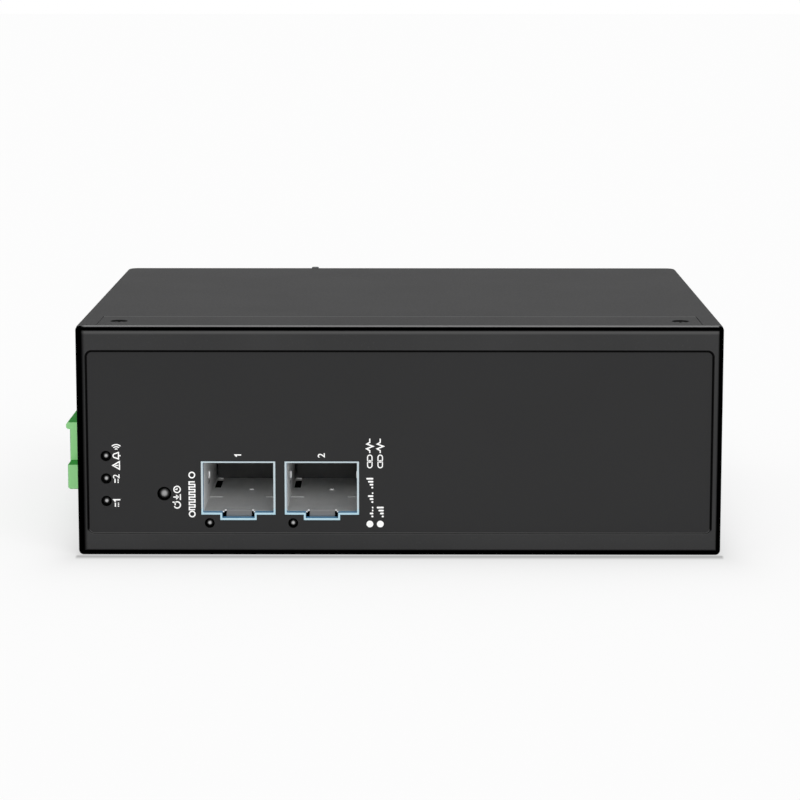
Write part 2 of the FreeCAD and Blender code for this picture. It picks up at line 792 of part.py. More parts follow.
def make_clamps():
    contacts = []
    for way in range(WAYS):
        across = way_centre(way)
        tag = "_%d" % (way + 1)
        half = "clamp_size / 2"
        outer = block("clamp_outer" + tag, ("clamp_x - " + half, "clamp_x + " + half),
                      (across + " - " + half, across + " + " + half), ("clamp_low", "clamp_high"))
        inner = block("clamp_inner" + tag, ("clamp_x - 3", "clamp_x + 3"),
                      (across + " - clamp_size / 2 + clamp_wall", across + " + clamp_size / 2 - clamp_wall"),
                      ("clamp_low + clamp_wall", "clamp_high - clamp_wall"))
        tapped = facet_rod("clamp_tapped" + tag, ("clamp_x", across, "clamp_high - 2"), "z", "1.36", "3")
        keep(less("wire_clamp" + tag, outer, [inner, tapped]), "wire_clamp" + tag)

        head = facet_rod("clamp_head" + tag, ("clamp_x", across, "plug_high - 2.05"), "z", "1.6", "1.65", 16)
        shank = facet_rod("clamp_shank" + tag, ("clamp_x", across, "bar_low + bar_thick + 0.05"), "z", "1.25",
                    "plug_high - 2.05 - bar_low - bar_thick - 0.05")
        slot = block("clamp_slot" + tag, ("clamp_x - 2", "clamp_x + 2"), (across + " - 0.3", across + " + 0.3"),
                     ("plug_high - 1.1", "plug_high"))
        keep(less("clamp_screw" + tag, joined("clamp_blank" + tag, [head, shank]), [slot]), "clamp_screw" + tag)

        bar = block("contact_bar" + tag, ("plug_out + 0.7", "plug_shoulder + 0.4"),
                    (across + " - 1", across + " + 1"), ("bar_low", "bar_low + bar_thick"))
        fork = block("contact_fork" + tag, ("plug_shoulder + 0.3", "tongue_end - 0.4"),
                     (across + " - 1.1", across + " + 1.1"), ("pin_up - 1.7", "pin_up + 1.7"))
        hole = block("contact_hole" + tag, ("plug_shoulder + 0.6", "tongue_end + 1"),
                     (across + " - 0.55", across + " + 0.55"), ("pin_up - 0.55", "pin_up + 0.55"))
        contacts.append(less("contact" + tag, joined("contact_blank" + tag, [bar, fork]), [hole]))
    group("plug_contacts", contacts)


def make_header():
    first = "way_start - ear"
    last = "way_start + way_pitch * %d + ear" % WAYS
    foot = block("header_foot", ("header_mouth", "header_rear"), (first, last), (TOP, "ear_high"))
    shroud = block("header_shroud", ("header_mouth", "header_rear"),
                   ("way_start - 1.1", "way_start + way_pitch * %d + 1.1" % WAYS), (TOP, "header_high"))
    mouth = block("header_mouth_void", ("header_mouth - 1", "tongue_end + 0.2"),
                  ("way_start - 0.1", "way_start + way_pitch * %d + 0.1" % WAYS),
                  ("tongue_low - 0.1", "tongue_high + 0.1"))
    pins = []
    tools = [mouth]
    for way in range(WAYS):
        across = way_centre(way)
        tag = "_%d" % (way + 1)
        side = (across + " - pin / 2", across + " + pin / 2")
        level = block("pin_level" + tag, ("pin_tip", "pin_leg + pin / 2"), side,
                      ("pin_up - pin / 2", "pin_up + pin / 2"))
        leg = block("pin_down" + tag, ("pin_leg - pin / 2", "pin_leg + pin / 2"), side,
                    ("board_low - 1.4", "pin_up + pin / 2"))
        pins.append(joined("pin" + tag, [level, leg]))
        tools.append(block("pin_way" + tag, ("tongue_end", "header_rear + 1"), side,
                           ("pin_up - pin / 2", "pin_up + pin / 2")))
        tools.append(block("leg_way" + tag, ("pin_leg - pin / 2", "header_rear + 1"), side,
                           (TOP + " - 1", "pin_up + pin / 2")))
    keep(less("terminal_header", joined("header_blank", [foot, shroud]), tools), "terminal_header")
    group("header_pins", pins)


# ---------------------------------------------------------------- ground screw and rail clip

def make_ground():
    wall = "-width / 2"
    at = (wall, "ground_y", "ground_up")
    washer = less("ground_washer",
                  rod("washer_disc", at, "-x", "4", "0.8"),
                  [facet_rod("washer_hole", ("1 - width / 2", "ground_y", "ground_up"), "-x", "2.17", "3")])
    keep(washer, "ground_washer")
    head = rod("ground_head", ("-width / 2 - 0.8", "ground_y", "ground_up"), "-x", "3.4", "2.4")
    shank = facet_rod("ground_shank", ("-width / 2 - 0.8", "ground_y", "ground_up"), "x", "2", "6.4")
    slots = [block("ground_slot_0", ("-width / 2 - 4", "-width / 2 - 2.1"), ("ground_y - 2.4", "ground_y + 2.4"),
                   ("ground_up - 0.45", "ground_up + 0.45")),
             block("ground_slot_1", ("-width / 2 - 4", "-width / 2 - 2.1"), ("ground_y - 0.45", "ground_y + 0.45"),
                   ("ground_up - 2.4", "ground_up + 2.4"))]
    keep(less("ground_screw", joined("ground_blank", [head, shank]), slots), "ground_screw")
    nut = facet_rod("nut_blank", ("sheet - width / 2", "ground_y", "ground_up"), "x", "4", "2.6", 6)
    bore = facet_rod("nut_bore", ("-width / 2", "ground_y", "ground_up"), "x", "2.13", "6")
    keep(less("ground_nut", nut, [bore]), "ground_nut")


def make_clip():
    body = new_body("rail_clip")
    base = sketch_on(body, "XZ_Plane", "-depth / 2 - clip_sheet")
    rectangle(base, ("clip_left", "clip_right"), ("clip_low", "clip_high"))
    grow(body, base, "clip_sheet")
    for low in ("10", "35.5"):
        upper = sketch_on(body, "XY_Plane", low)
        face = "depth / 2 + clip_sheet - 0.5"
        slot_back = "depth / 2 + wire_off + wire + 0.05"
        slot_end = "wire_x - wire - wire_travel - 0.05"
        loop(upper, [("clip_left", face), (slot_end, face), (slot_end, slot_back), ("rail_top - 0.1", slot_back),
                     ("rail_top - 0.1", "depth / 2 + clip_sheet + 1.3"),
                     ("rail_top + 2.5", "depth / 2 + clip_sheet + 1.3"),
                     ("rail_top + 2.5", "depth / 2 + clip_sheet + 3.6"),
                     ("clip_left + 2", "depth / 2 + clip_sheet + 3.6"),
                     ("clip_left", "depth / 2 + clip_sheet + 1.6")])
        grow(body, upper, "clip_sheet")
        lower = sketch_on(body, "XY_Plane", low + " - 2.5")
        loop(lower, [("rail_bottom", face), ("rail_bottom", "depth / 2 + clip_sheet + 1.5"),
                     ("rail_bottom - 2", "depth / 2 + clip_sheet + 1.5"),
                     ("rail_bottom - 2", "depth / 2 + clip_sheet + 3"),
                     ("rail_bottom + 1.5", "depth / 2 + clip_sheet + 3"), ("rail_bottom + 1.5", face)])
        grow(body, lower, "6.5")
    holes = sketch_on(body, "XZ_Plane", "-depth / 2 - clip_sheet")
    for across, up in CLIP_SCREWS:
        ring(holes, across, up, "shank + 0.05")
    carve(body, holes, "clip_sheet", True)
    back = number("depth / 2 + clip_sheet")
    size = number("(shank + 0.05) * 2")
    dress(body, "Chamfer", "head - shank", lambda box: near(box.XLength, size) and near(box.YMin, back))
    screws = [flat_screw("clip_screw_%d" % n, (across, "depth / 2 + clip_sheet", up), "-y", "3.4")
              for n, (across, up) in enumerate(CLIP_SCREWS)]
    group("clip_screws", screws)


def make_clip_wire():
    """The stiff straight wire that presses on the rail's upper edge."""
    wire = rod("clip_wire", ("wire_x", "depth / 2 + wire_off", "wire_end"), "z", "wire", "height + wire_proud - wire_end")
    keep(wire, "clip_wire")


def main():
    make_front_panel()
    make_front_label()
    make_chassis()
    make_cover()
    make_cover_screws()
    for port in range(PORTS):
        make_slot(port)
    make_board()
    make_posts()
    make_indicators()
    make_reset()
    make_heat_sink()
    make_components()
    make_plug()
    make_clamps()
    make_header()
    make_ground()
    make_clip()
    make_clip_wire()
    doc.recompute()
    for item in doc.Objects:
        if "Invalid" in item.State or "Error" in item.State:
            raise RuntimeError("%s failed: %s" % (item.Name, item.State))
    for name, item in finished.items():
        if item.Shape.isNull() or not item.Shape.isValid():
            raise RuntimeError("%s has no valid shape" % name)
    os.makedirs("parts", exist_ok=True)
    for name, item in finished.items():
        item.Shape.exportStep("parts/%s.step" % name)
        print("%s: %d solid(s), %.1f mm3" % (name, len(item.Shape.Solids), item.Shape.Volume))


main()
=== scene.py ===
"""How a fibre media converter looks: a flat black steel case that lies on its large side.

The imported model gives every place. This script gives each piece its finish, breaks the sharp
edges of the pieces that show, prints the front film and sets the floor, light and camera.
"""

import json
import math

import bpy
from mathutils import Euler, Matrix, Vector


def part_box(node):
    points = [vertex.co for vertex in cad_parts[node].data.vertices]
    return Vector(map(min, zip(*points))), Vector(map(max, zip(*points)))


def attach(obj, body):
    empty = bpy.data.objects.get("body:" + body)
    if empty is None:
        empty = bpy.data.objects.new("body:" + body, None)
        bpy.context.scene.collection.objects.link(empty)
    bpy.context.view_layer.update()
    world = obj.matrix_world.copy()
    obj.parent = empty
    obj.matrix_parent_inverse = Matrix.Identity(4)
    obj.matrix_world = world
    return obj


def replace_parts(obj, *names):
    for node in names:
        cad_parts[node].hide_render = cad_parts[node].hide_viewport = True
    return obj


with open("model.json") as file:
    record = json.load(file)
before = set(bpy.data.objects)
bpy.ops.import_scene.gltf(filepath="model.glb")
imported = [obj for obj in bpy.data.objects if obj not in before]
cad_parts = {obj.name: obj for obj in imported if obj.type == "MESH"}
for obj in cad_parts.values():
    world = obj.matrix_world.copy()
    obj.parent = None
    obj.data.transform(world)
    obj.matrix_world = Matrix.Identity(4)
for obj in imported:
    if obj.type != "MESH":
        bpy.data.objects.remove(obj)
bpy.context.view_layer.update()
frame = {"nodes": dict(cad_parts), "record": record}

MM = 0.001
CASE = "case"
PORTS = 2

# Where the viewer stands, the tilt down and the turn in degrees, and the lens in millimetres.
CAMERA_PLACE = (2.86 * MM, -623.03 * MM, 121.1 * MM)
CAMERA_TILT = 8.87
CAMERA_TURN = 0.276
CAMERA_LENS = 126.49

# How far forward the lamps, the reset button and the film reach.
LENS_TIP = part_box("alarm_led")[0].y
BUTTON_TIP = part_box("reset_plunger")[0].y
FILM_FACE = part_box("front_label")[0].y
FILM_CORNER = 1.1 * MM

# A trim's latch notch dips under the slot's own sill, and the cage's floor lies on the sill.
NOTCH_DROP = 1.14
TRIM_WALL = 0.42
CAGE_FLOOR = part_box("port_collar_1")[0].z + (NOTCH_DROP + TRIM_WALL) * MM

BLACK = (0.0, 0.0, 0.0)

bpy.ops.object.select_all(action="DESELECT")


# ---------------------------------------------------------------- node helpers

def new_node(tree, kind, inputs=None, **settings):
    """A node with its settings, whose inputs are plain values or other nodes' outputs."""
    made = tree.nodes.new(kind)
    for name, value in settings.items():
        setattr(made, name, value)
    for name, value in (inputs or {}).items():
        if isinstance(value, bpy.types.NodeSocket):
            tree.links.new(value, made.inputs[name])
        else:
            made.inputs[name].default_value = value
    return made


def calc(tree, operation, *values):
    """One step of arithmetic on sockets and numbers."""
    made = new_node(tree, "ShaderNodeMath", dict(enumerate(values)), operation=operation)
    return made.outputs[0]


def times(tree, first, second):
    """The product of two values."""
    return calc(tree, "MULTIPLY", first, second)


def minus(tree, first, second):
    """The first value less the second."""
    return calc(tree, "SUBTRACT", first, second)


def most(tree, first, second):
    """The larger of two values."""
    return calc(tree, "MAXIMUM", first, second)


def apart(tree, first, second):
    """How far two values lie from each other."""
    return calc(tree, "ABSOLUTE", minus(tree, first, second))


def ramp(tree, value, low, high, start=0.0, end=1.0):
    """A smooth change from start to end as a value goes from low to high."""
    made = new_node(tree, "ShaderNodeMapRange",
                    {"Value": value, "From Min": low, "From Max": high, "To Min": start, "To Max": end},
                    interpolation_type="SMOOTHSTEP")
    return made.outputs["Result"]


def within(tree, length, full, none):
    """1 up to a length in millimetres, fading to 0 at a longer one."""
    return ramp(tree, length, full * MM, none * MM, 1.0, 0.0)


def beyond(tree, length, none, full):
    """0 up to a length in millimetres, rising to 1 at a longer one."""
    return ramp(tree, length, none * MM, full * MM)


def blend(tree, amount, first, second):
    """A colour between two others."""
    made = new_node(tree, "ShaderNodeMix", {"Factor": amount}, data_type="RGBA")
    for socket, colour in (("A", first), ("B", second)):
        entry = next(s for s in made.inputs if s.name == socket and s.type == "RGBA")
        if isinstance(colour, bpy.types.NodeSocket):
            tree.links.new(colour, entry)
        else:
            entry.default_value = (*colour, 1)
    return next(s for s in made.outputs if s.type == "RGBA")


def object_axes(tree):
    """The three Object coordinates of a surface point, in metres."""
    place = new_node(tree, "ShaderNodeTexCoord").outputs["Object"]
    return new_node(tree, "ShaderNodeSeparateXYZ", {"Vector": place}).outputs


def inset(tree, axes, low, high, radius):
    """How far a point lies inside a round-cornered rectangle in the front view."""
    past = []
    for axis in (0, 2):
        half = (high[axis] - low[axis]) / 2
        past.append(minus(tree, apart(tree, axes["XYZ"[axis]], low[axis] + half), half - radius))
    corner = [most(tree, part, 0.0) for part in past]
    squares = [times(tree, part, part) for part in corner]
    outside = calc(tree, "SQRT", calc(tree, "ADD", *squares))
    nearest = calc(tree, "MINIMUM", most(tree, *past), 0.0)
    return minus(tree, radius, calc(tree, "ADD", outside, nearest))


def facing(tree):
    """The three parts of a surface's own direction."""
    normal = new_node(tree, "ShaderNodeNewGeometry").outputs["Normal"]
    return new_node(tree, "ShaderNodeSeparateXYZ", {"Vector": normal}).outputs


def new_group(name, inputs, outputs):
    """An empty shader group: inputs are (name, default), outputs are names."""
    tree = bpy.data.node_groups.new(name, "ShaderNodeTree")
    for label, value in inputs:
        made = tree.interface.new_socket(label, in_out="INPUT", socket_type="NodeSocketFloat")
        made.default_value = value
    for label in outputs:
        tree.interface.new_socket(label, in_out="OUTPUT", socket_type="NodeSocketFloat")
    return tree, tree.nodes.new("NodeGroupInput").outputs, tree.nodes.new("NodeGroupOutput").inputs


def noise(tree, place, scale, detail, roughness=0.5):
    """A soft random value that changes from place to place."""
    made = new_node(tree, "ShaderNodeTexNoise",
                    {"Vector": place, "Scale": scale, "Detail": detail, "Roughness": roughness})
    return made.outputs[0]


# ---------------------------------------------------------------- shared surface effects

def make_grain_group():
    """The pebbled skin of powder coat or a moulded part, and its slow unevenness."""
    tree, given, put = new_group("surface_grain", [("Grain Size", 0.3), ("Patch Size", 20.0)],
                                 ["Height", "Patch", "Fleck"])
    place = new_node(tree, "ShaderNodeTexCoord").outputs["Object"]
    fine = calc(tree, "DIVIDE", 1 / MM, given["Grain Size"])
    slow = calc(tree, "DIVIDE", 1 / MM, given["Patch Size"])
    cells = new_node(tree, "ShaderNodeTexVoronoi", {"Vector": place, "Scale": fine}, feature="SMOOTH_F1")
    bumps = times(tree, cells.outputs["Distance"], 0.5)
    pebble = calc(tree, "ADD", noise(tree, place, fine, 3.0, 0.6), bumps)
    fleck = ramp(tree, noise(tree, place, times(tree, fine, 0.7), 1.0), 0.62, 0.75)
    tree.links.new(pebble, put["Height"])
    tree.links.new(noise(tree, place, slow, 4.0), put["Patch"])
    tree.links.new(fleck, put["Fleck"])
    return tree


def make_brushed_group():
    """Fine parallel scratches from rolling or drawing, along one axis."""
    tree, given, put = new_group(
        "brushed_lines", [("Line Size", 0.1), ("Along X", 1.0), ("Along Y", 1.0), ("Along Z", 1.0)],
        ["Height", "Streak", "Cloud"])
    axes = object_axes(tree)
    stretched = new_node(tree, "ShaderNodeCombineXYZ")
    for axis in "XYZ":
        tree.links.new(times(tree, axes[axis], given["Along " + axis]), stretched.inputs[axis])
    place = stretched.outputs[0]
    fine = calc(tree, "DIVIDE", 1 / MM, given["Line Size"])
    streak = noise(tree, place, fine, 2.0, 0.7)
    tree.links.new(streak, put["Height"])
    tree.links.new(ramp(tree, streak, 0.3, 0.7), put["Streak"])
    tree.links.new(noise(tree, place, times(tree, fine, 0.06), 3.0), put["Cloud"])
    return tree


GRAIN = make_grain_group()
BRUSHED = make_brushed_group()


def group_node(tree, group, **values):
    """One of the shared effects with its own values."""
    made = new_node(tree, "ShaderNodeGroup", node_tree=group)
    for name, value in values.items():
        made.inputs[name.replace("_", " ")].default_value = value
    return made.outputs


def new_material(name, specular, **sockets):
    """A material with its shader's constant sockets set."""
    made = bpy.data.materials.new(name)
    made.use_nodes = True
    shader = made.node_tree.nodes["Principled BSDF"]
    shader.inputs["Specular IOR Level"].default_value = specular
    for label, value in sockets.items():
        shader.inputs[label.replace("_", " ")].default_value = value
    return made, made.node_tree, shader.inputs


def inner_parts(material):
    """A finished material's tree, its shader's inputs, and the colour and roughness that feed them."""
    tree = material.node_tree
    sockets = tree.nodes["Principled BSDF"].inputs
    tone, gloss = [sockets[label].links[0].from_socket for label in ("Base Color", "Roughness")]
    return tree, sockets, tone, gloss


def feed(tree, sockets, colour, roughness=None, metallic=None):
    """Link the values that change over a surface to its shader."""
    for label, value in (("Base Color", colour), ("Roughness", roughness), ("Metallic", metallic)):
        if value is not None:
            tree.links.new(value, sockets[label])


def raise_surface(tree, sockets, height, depth):
    """A bump of a given depth in millimetres."""
    bump = new_node(tree, "ShaderNodeBump", {"Strength": 1.0, "Distance": depth * MM, "Height": height})
    tree.links.new(bump.outputs[0], sockets["Normal"])


# ---------------------------------------------------------------- general finishes

def coated(name, colour, grain=0.35, depth=0.006, rough=(0.5, 0.62), specular=0.3, spread=0.18):
    """Powder coat, paint, film or moulded plastic: one colour with grain and slow patches."""
    made, tree, sockets = new_material(name, specular)
    skin = group_node(tree, GRAIN, Grain_Size=grain, Patch_Size=22.0)
    dark = [part * (1 - spread) for part in colour]
    light = [part * (1 + spread) for part in colour]
    bright = [part * 1.6 for part in colour]
    patched = blend(tree, ramp(tree, skin["Patch"], 0.3, 0.7), dark, light)
    flecked = blend(tree, times(tree, skin["Fleck"], 0.25), patched, bright)
    feed(tree, sockets, flecked, ramp(tree, skin["Height"], 0.3, 1.0, rough[1], rough[0]))
    raise_surface(tree, sockets, skin["Height"], depth)
    return made


def plated(name, colour, along=(1, 1, 1), line=0.12, depth=0.002, rough=(0.22, 0.42)):
    """Rolled, drawn or turned metal: its fine lines run along the axis whose factor is small."""
    made, tree, sockets = new_material(name, 0.5, Metallic=1.0)
    lines = group_node(tree, BRUSHED, Line_Size=line, Along_X=along[0], Along_Y=along[1], Along_Z=along[2])
    dark = [part * 0.88 for part in colour]
    light = [min(1, part * 1.12) for part in colour]
    tone = calc(tree, "MULTIPLY_ADD", lines["Cloud"], 0.7, times(tree, lines["Streak"], 0.3))
    feed(tree, sockets, blend(tree, ramp(tree, tone, 0.2, 0.8), dark, light),
         ramp(tree, tone, 0.2, 0.8, rough[1], rough[0]))
    raise_surface(tree, sockets, lines["Height"], depth)
    return made


def lens(name, colour, tip, reach):
    """A dull dome in a dark hole, with painted light and shade: its tip is painted light, and it is painted
    darker towards the wall.
    """
    made, tree, sockets = new_material(name, 0.5)
    skin = group_node(tree, GRAIN, Grain_Size=0.1, Patch_Size=1.5)
    # Painted light and shade: light at the dome's tip, darker towards the wall.
    painted_tip_light = ramp(tree, object_axes(tree)["Y"], tip, tip + reach * MM, 1.0, 0.0)
    feed(tree, sockets, blend(tree, times(tree, painted_tip_light, painted_tip_light), (0.003, 0.003, 0.003), colour),
         ramp(tree, skin["Patch"], 0.3, 0.7, 0.5, 0.62))
    raise_surface(tree, sockets, skin["Height"], 0.002)
    return made


# ---------------------------------------------------------------- the case and its film

COAT = (0.034, 0.034, 0.0345)
COAT_LOOK = {"rough": (0.64, 0.74), "specular": 0.08, "spread": 0.06}


def painted_rim_shade(tree, axes, low, high):
    """Painted shade: a black band round the rim of the front face, between its bent edges and its flat, where
    the folds turn from the light.
    """
    below_top = minus(tree, high.z, axes["Z"])
    left = within(tree, minus(tree, axes["X"], low.x), 1.1, 2.05)
    right = within(tree, minus(tree, high.x, axes["X"]), 0.85, 1.3)
    bottom = within(tree, minus(tree, axes["Z"], low.z), 1.0, 1.45)
    top = times(tree, beyond(tree, below_top, 0.23, 0.31), within(tree, below_top, 0.85, 1.15))
    return most(tree, most(tree, left, right), most(tree, bottom, top))


def painted_recess_edges(tree, axes):
    """Round the film: painted shade in the step along its upper and side edges, and a painted highlight on
    the step under its lower edge.
    """
    low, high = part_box("front_label")
    around = times(tree, inset(tree, axes, low, high, FILM_CORNER), -1.0)
    step = times(tree, within(tree, around, 0.3, 0.36),
                 ramp(tree, axes["Z"], low.z + 0.3 * MM, low.z + 0.9 * MM))
    painted_ledge_light = times(tree, within(tree, around, 0.12, 0.3),
                  ramp(tree, axes["Z"], low.z, low.z + 0.3 * MM, 1.0, 0.0))
    return step, painted_ledge_light


def front_coat():
    """The case's coat on the front panel, with painted light and shade: black round the rim where its folds
    turn from the light, along the film's upper step and on faces set back near the top, and painted
    highlights along the top edge, in a band under the black, along the film's lower edge and along the top's
    rear end.
    """
    made = coated("front_coat", COAT, **COAT_LOOK)
    tree, sockets, tone, gloss = inner_parts(made)
    low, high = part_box("front_panel")
    axes = object_axes(tree)
    below_top = minus(tree, high.z, axes["Z"])
    forward = ramp(tree, facing(tree)["Y"], -0.25, -0.1, 1.0, 0.0)
    near_front = ramp(tree, axes["Y"], low.y + 0.9 * MM, low.y + 1.1 * MM, 1.0, 0.0)
    set_back = ramp(tree, axes["Y"], low.y + 3 * MM, low.y + 4 * MM)

    # Painted shade: a black band round the rim, which also takes away the coat's reflection there.
    painted_rim_black = times(tree, painted_rim_shade(tree, axes, low, high), times(tree, forward, near_front))
    # Painted shade in the step above and beside the film, and a painted highlight under it.
    step, painted_ledge_light = painted_recess_edges(tree, axes)
    # Painted shade: black on the forward faces near the top that stand back from the front.
    painted_tongue_shade = times(tree, times(tree, forward, set_back), within(tree, below_top, 1.0, 1.2))
    # Painted highlight: a light line along the top front edge.
    painted_upper_highlight = times(tree, within(tree, below_top, 0.14, 0.25), near_front)
    # Painted highlight: a lighter band on the front face just under the black at the top.
    painted_light_band = times(tree, beyond(tree, below_top, 0.95, 1.25), within(tree, below_top, 1.35, 1.9))
    # Painted highlight: a light line on the top, along the rear end of the panel's top fold.
    painted_hem_line = times(tree, ramp(tree, axes["Y"], high.y - 0.9 * MM, high.y - 0.7 * MM),
                within(tree, below_top, 0.1, 0.3))
    for amount, colour in ((times(tree, painted_light_band, forward), (0.070, 0.070, 0.070)),
                           (painted_ledge_light, (0.045, 0.045, 0.045)),
                           (painted_upper_highlight, (0.19, 0.19, 0.19)),
                           (painted_hem_line, (0.095, 0.095, 0.095)),
                           (most(tree, painted_rim_black, most(tree, step, painted_tongue_shade)), BLACK)):
        tone = blend(tree, amount, tone, colour)
    feed(tree, sockets, tone, most(tree, gloss, painted_rim_black), painted_rim_black)
    return made


def case_coat():
    """The same coat on cover and tray, with painted shade a little darker along the edges of the big face."""
    made = coated("case_coat", COAT, **COAT_LOOK)
    tree, sockets, tone, _ = inner_parts(made)
    low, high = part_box("cover")
    axes = object_axes(tree)
    beside = calc(tree, "MINIMUM", minus(tree, axes["X"], low.x), minus(tree, high.x, axes["X"]))
    behind = times(tree, minus(tree, high.y, axes["Y"]), 0.35)
    nearest = calc(tree, "MINIMUM", beside, behind)
    # Painted shade along the side and back edges of the big face, where its bends turn from the light.
    rim = ramp(tree, nearest, 0.3 * MM, 0.9 * MM, 0.45, 0.0)
    feed(tree, sockets, blend(tree, rim, tone, (0.004, 0.004, 0.004)))
    return made


def film():
    """The printed film: a smooth dark sheet with a painted shadow along its upper and side edges, and a
    painted highlight along its lower edge.
    """
    made = coated("front_film", (0.0135, 0.0135, 0.014), grain=0.12, depth=0.0012, rough=(0.42, 0.5),
                  specular=0.22, spread=0.03)
    tree, sockets, tone, gloss = inner_parts(made)
    low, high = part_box("front_label")
    axes = object_axes(tree)
    rim = within(tree, inset(tree, axes, low, high, FILM_CORNER), 0.12, 0.2)
    upper = ramp(tree, axes["Z"], low.z + 0.5 * MM, low.z + 1.0 * MM)
    shadow = times(tree, rim, upper)
    tone = blend(tree, shadow, tone, BLACK)
    # Painted highlight: a light line along the film's lower edge.
    tone = blend(tree, times(tree, rim, minus(tree, 1.0, upper)), tone, (0.055, 0.055, 0.055))
    feed(tree, sockets, tone, most(tree, gloss, shadow))
    return made


def printed_ink():
    """White ink, a little uneven."""
    made, tree, sockets = new_material("printed_ink", 0.4)
    skin = group_node(tree, GRAIN, Grain_Size=0.1, Patch_Size=3.0)
    white = blend(tree, ramp(tree, skin["Patch"], 0.3, 0.7), (0.86, 0.86, 0.85), (0.93, 0.93, 0.92))
    feed(tree, sockets, white, ramp(tree, skin["Height"], 0.3, 1.0, 0.6, 0.45))
    raise_surface(tree, sockets, skin["Height"], 0.001)
    return made


def black_oxide():
    """Blackened steel of the cover's screws, with painted shade: their cross recesses are painted black."""
    made = coated("black_oxide", (0.010, 0.010, 0.0105), grain=0.15, depth=0.002, rough=(0.5, 0.6),
                  specular=0.12)
    tree, sockets, tone, gloss = inner_parts(made)
    low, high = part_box("cover_screws")
    axes = object_axes(tree)
    half = (high.y - low.y) / 2
    off = [apart(tree, calc(tree, "ABSOLUTE", axes["X"]), high.x - half),
           apart(tree, axes["Y"], (low.y + high.y) / 2)]
    arms = [times(tree, within(tree, off[index], 0.26, 0.32), within(tree, off[1 - index], 1.25, 1.35))
            for index in (0, 1)]
    # Painted shade: black in the shape of the cross recesses, which also takes away their reflection.
    cross = most(tree, *arms)
    feed(tree, sockets, blend(tree, cross, tone, BLACK), most(tree, gloss, cross), cross)
    return made


# ---------------------------------------------------------------- the slots, the plug and the board

def anodised_blue():
    """Light blue on the face of a slot's trim, bluer towards its sill, and painted shade in deeper blue on
    the walls behind it.
    """
    made, tree, sockets = new_material("anodised_blue", 0.5)
    low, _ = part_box("port_collar_1")
    skin = group_node(tree, GRAIN, Grain_Size=0.12, Patch_Size=6.0)
    axes = object_axes(tree)
    # Painted shade: the walls behind the trim's face are painted a deeper blue.
    behind = ramp(tree, axes["Y"], low.y + 0.08 * MM, low.y + 0.3 * MM)
    sill = ramp(tree, axes["Z"], low.z + 2.0 * MM, low.z + 2.6 * MM, 1.0, 0.0)
    face = blend(tree, sill, (0.49, 0.565, 0.59), (0.41, 0.59, 0.67))
    shade = blend(tree, behind, face, (0.03, 0.23, 0.44))
    tinted = blend(tree, times(tree, skin["Patch"], 0.15), shade, (0.30, 0.52, 0.70))
    feed(tree, sockets, tinted, ramp(tree, skin["Height"], 0.3, 1.0, 0.42, 0.3),
         metallic=times(tree, behind, 0.35))
    raise_surface(tree, sockets, skin["Height"], 0.002)
    return made


def painted_opening_shade(tree, axes, off, depth):
    """Painted shade: black for an oval hole in each side wall, and for a slit beside the floor of the right
    cage; the holes are painted, not cut.
    """
    right_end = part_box("module_cage_2")[1].x
    hole = [calc(tree, "DIVIDE", minus(tree, depth, 14.8 * MM), 1.6 * MM),
            calc(tree, "DIVIDE", minus(tree, axes["Z"], CAGE_FLOOR + 3.3 * MM), 0.38 * MM)]
    oval = ramp(tree, calc(tree, "ADD", *[times(tree, part, part) for part in hole]), 0.7, 1.2, 0.85, 0.0)
    slit = times(tree, beyond(tree, off, 6.55, 6.65), beyond(tree, depth, 25.8, 26.1))
    slit = times(tree, slit, calc(tree, "GREATER_THAN", axes["X"], right_end - 2 * MM))
    return most(tree, oval, slit)


def painted_latch_shade(tree, axes, off, depth):
    """Painted shade on the sprung tongue under a cage's mouth, and the share of it at its lower edge."""
    on_tongue = times(tree, within(tree, off, 2.6, 2.7), within(tree, depth, 2.0, 2.3))
    dip = ramp(tree, axes["Z"], CAGE_FLOOR - 0.35 * MM, CAGE_FLOOR - 0.12 * MM, 1.0, 0.0)
    edge = ramp(tree, axes["Z"], CAGE_FLOOR - 0.85 * MM, CAGE_FLOOR - 0.65 * MM, 1.0, 0.0)
    tongue = times(tree, on_tongue, most(tree, dip, 0.75))
    return tongue, times(tree, tongue, edge)


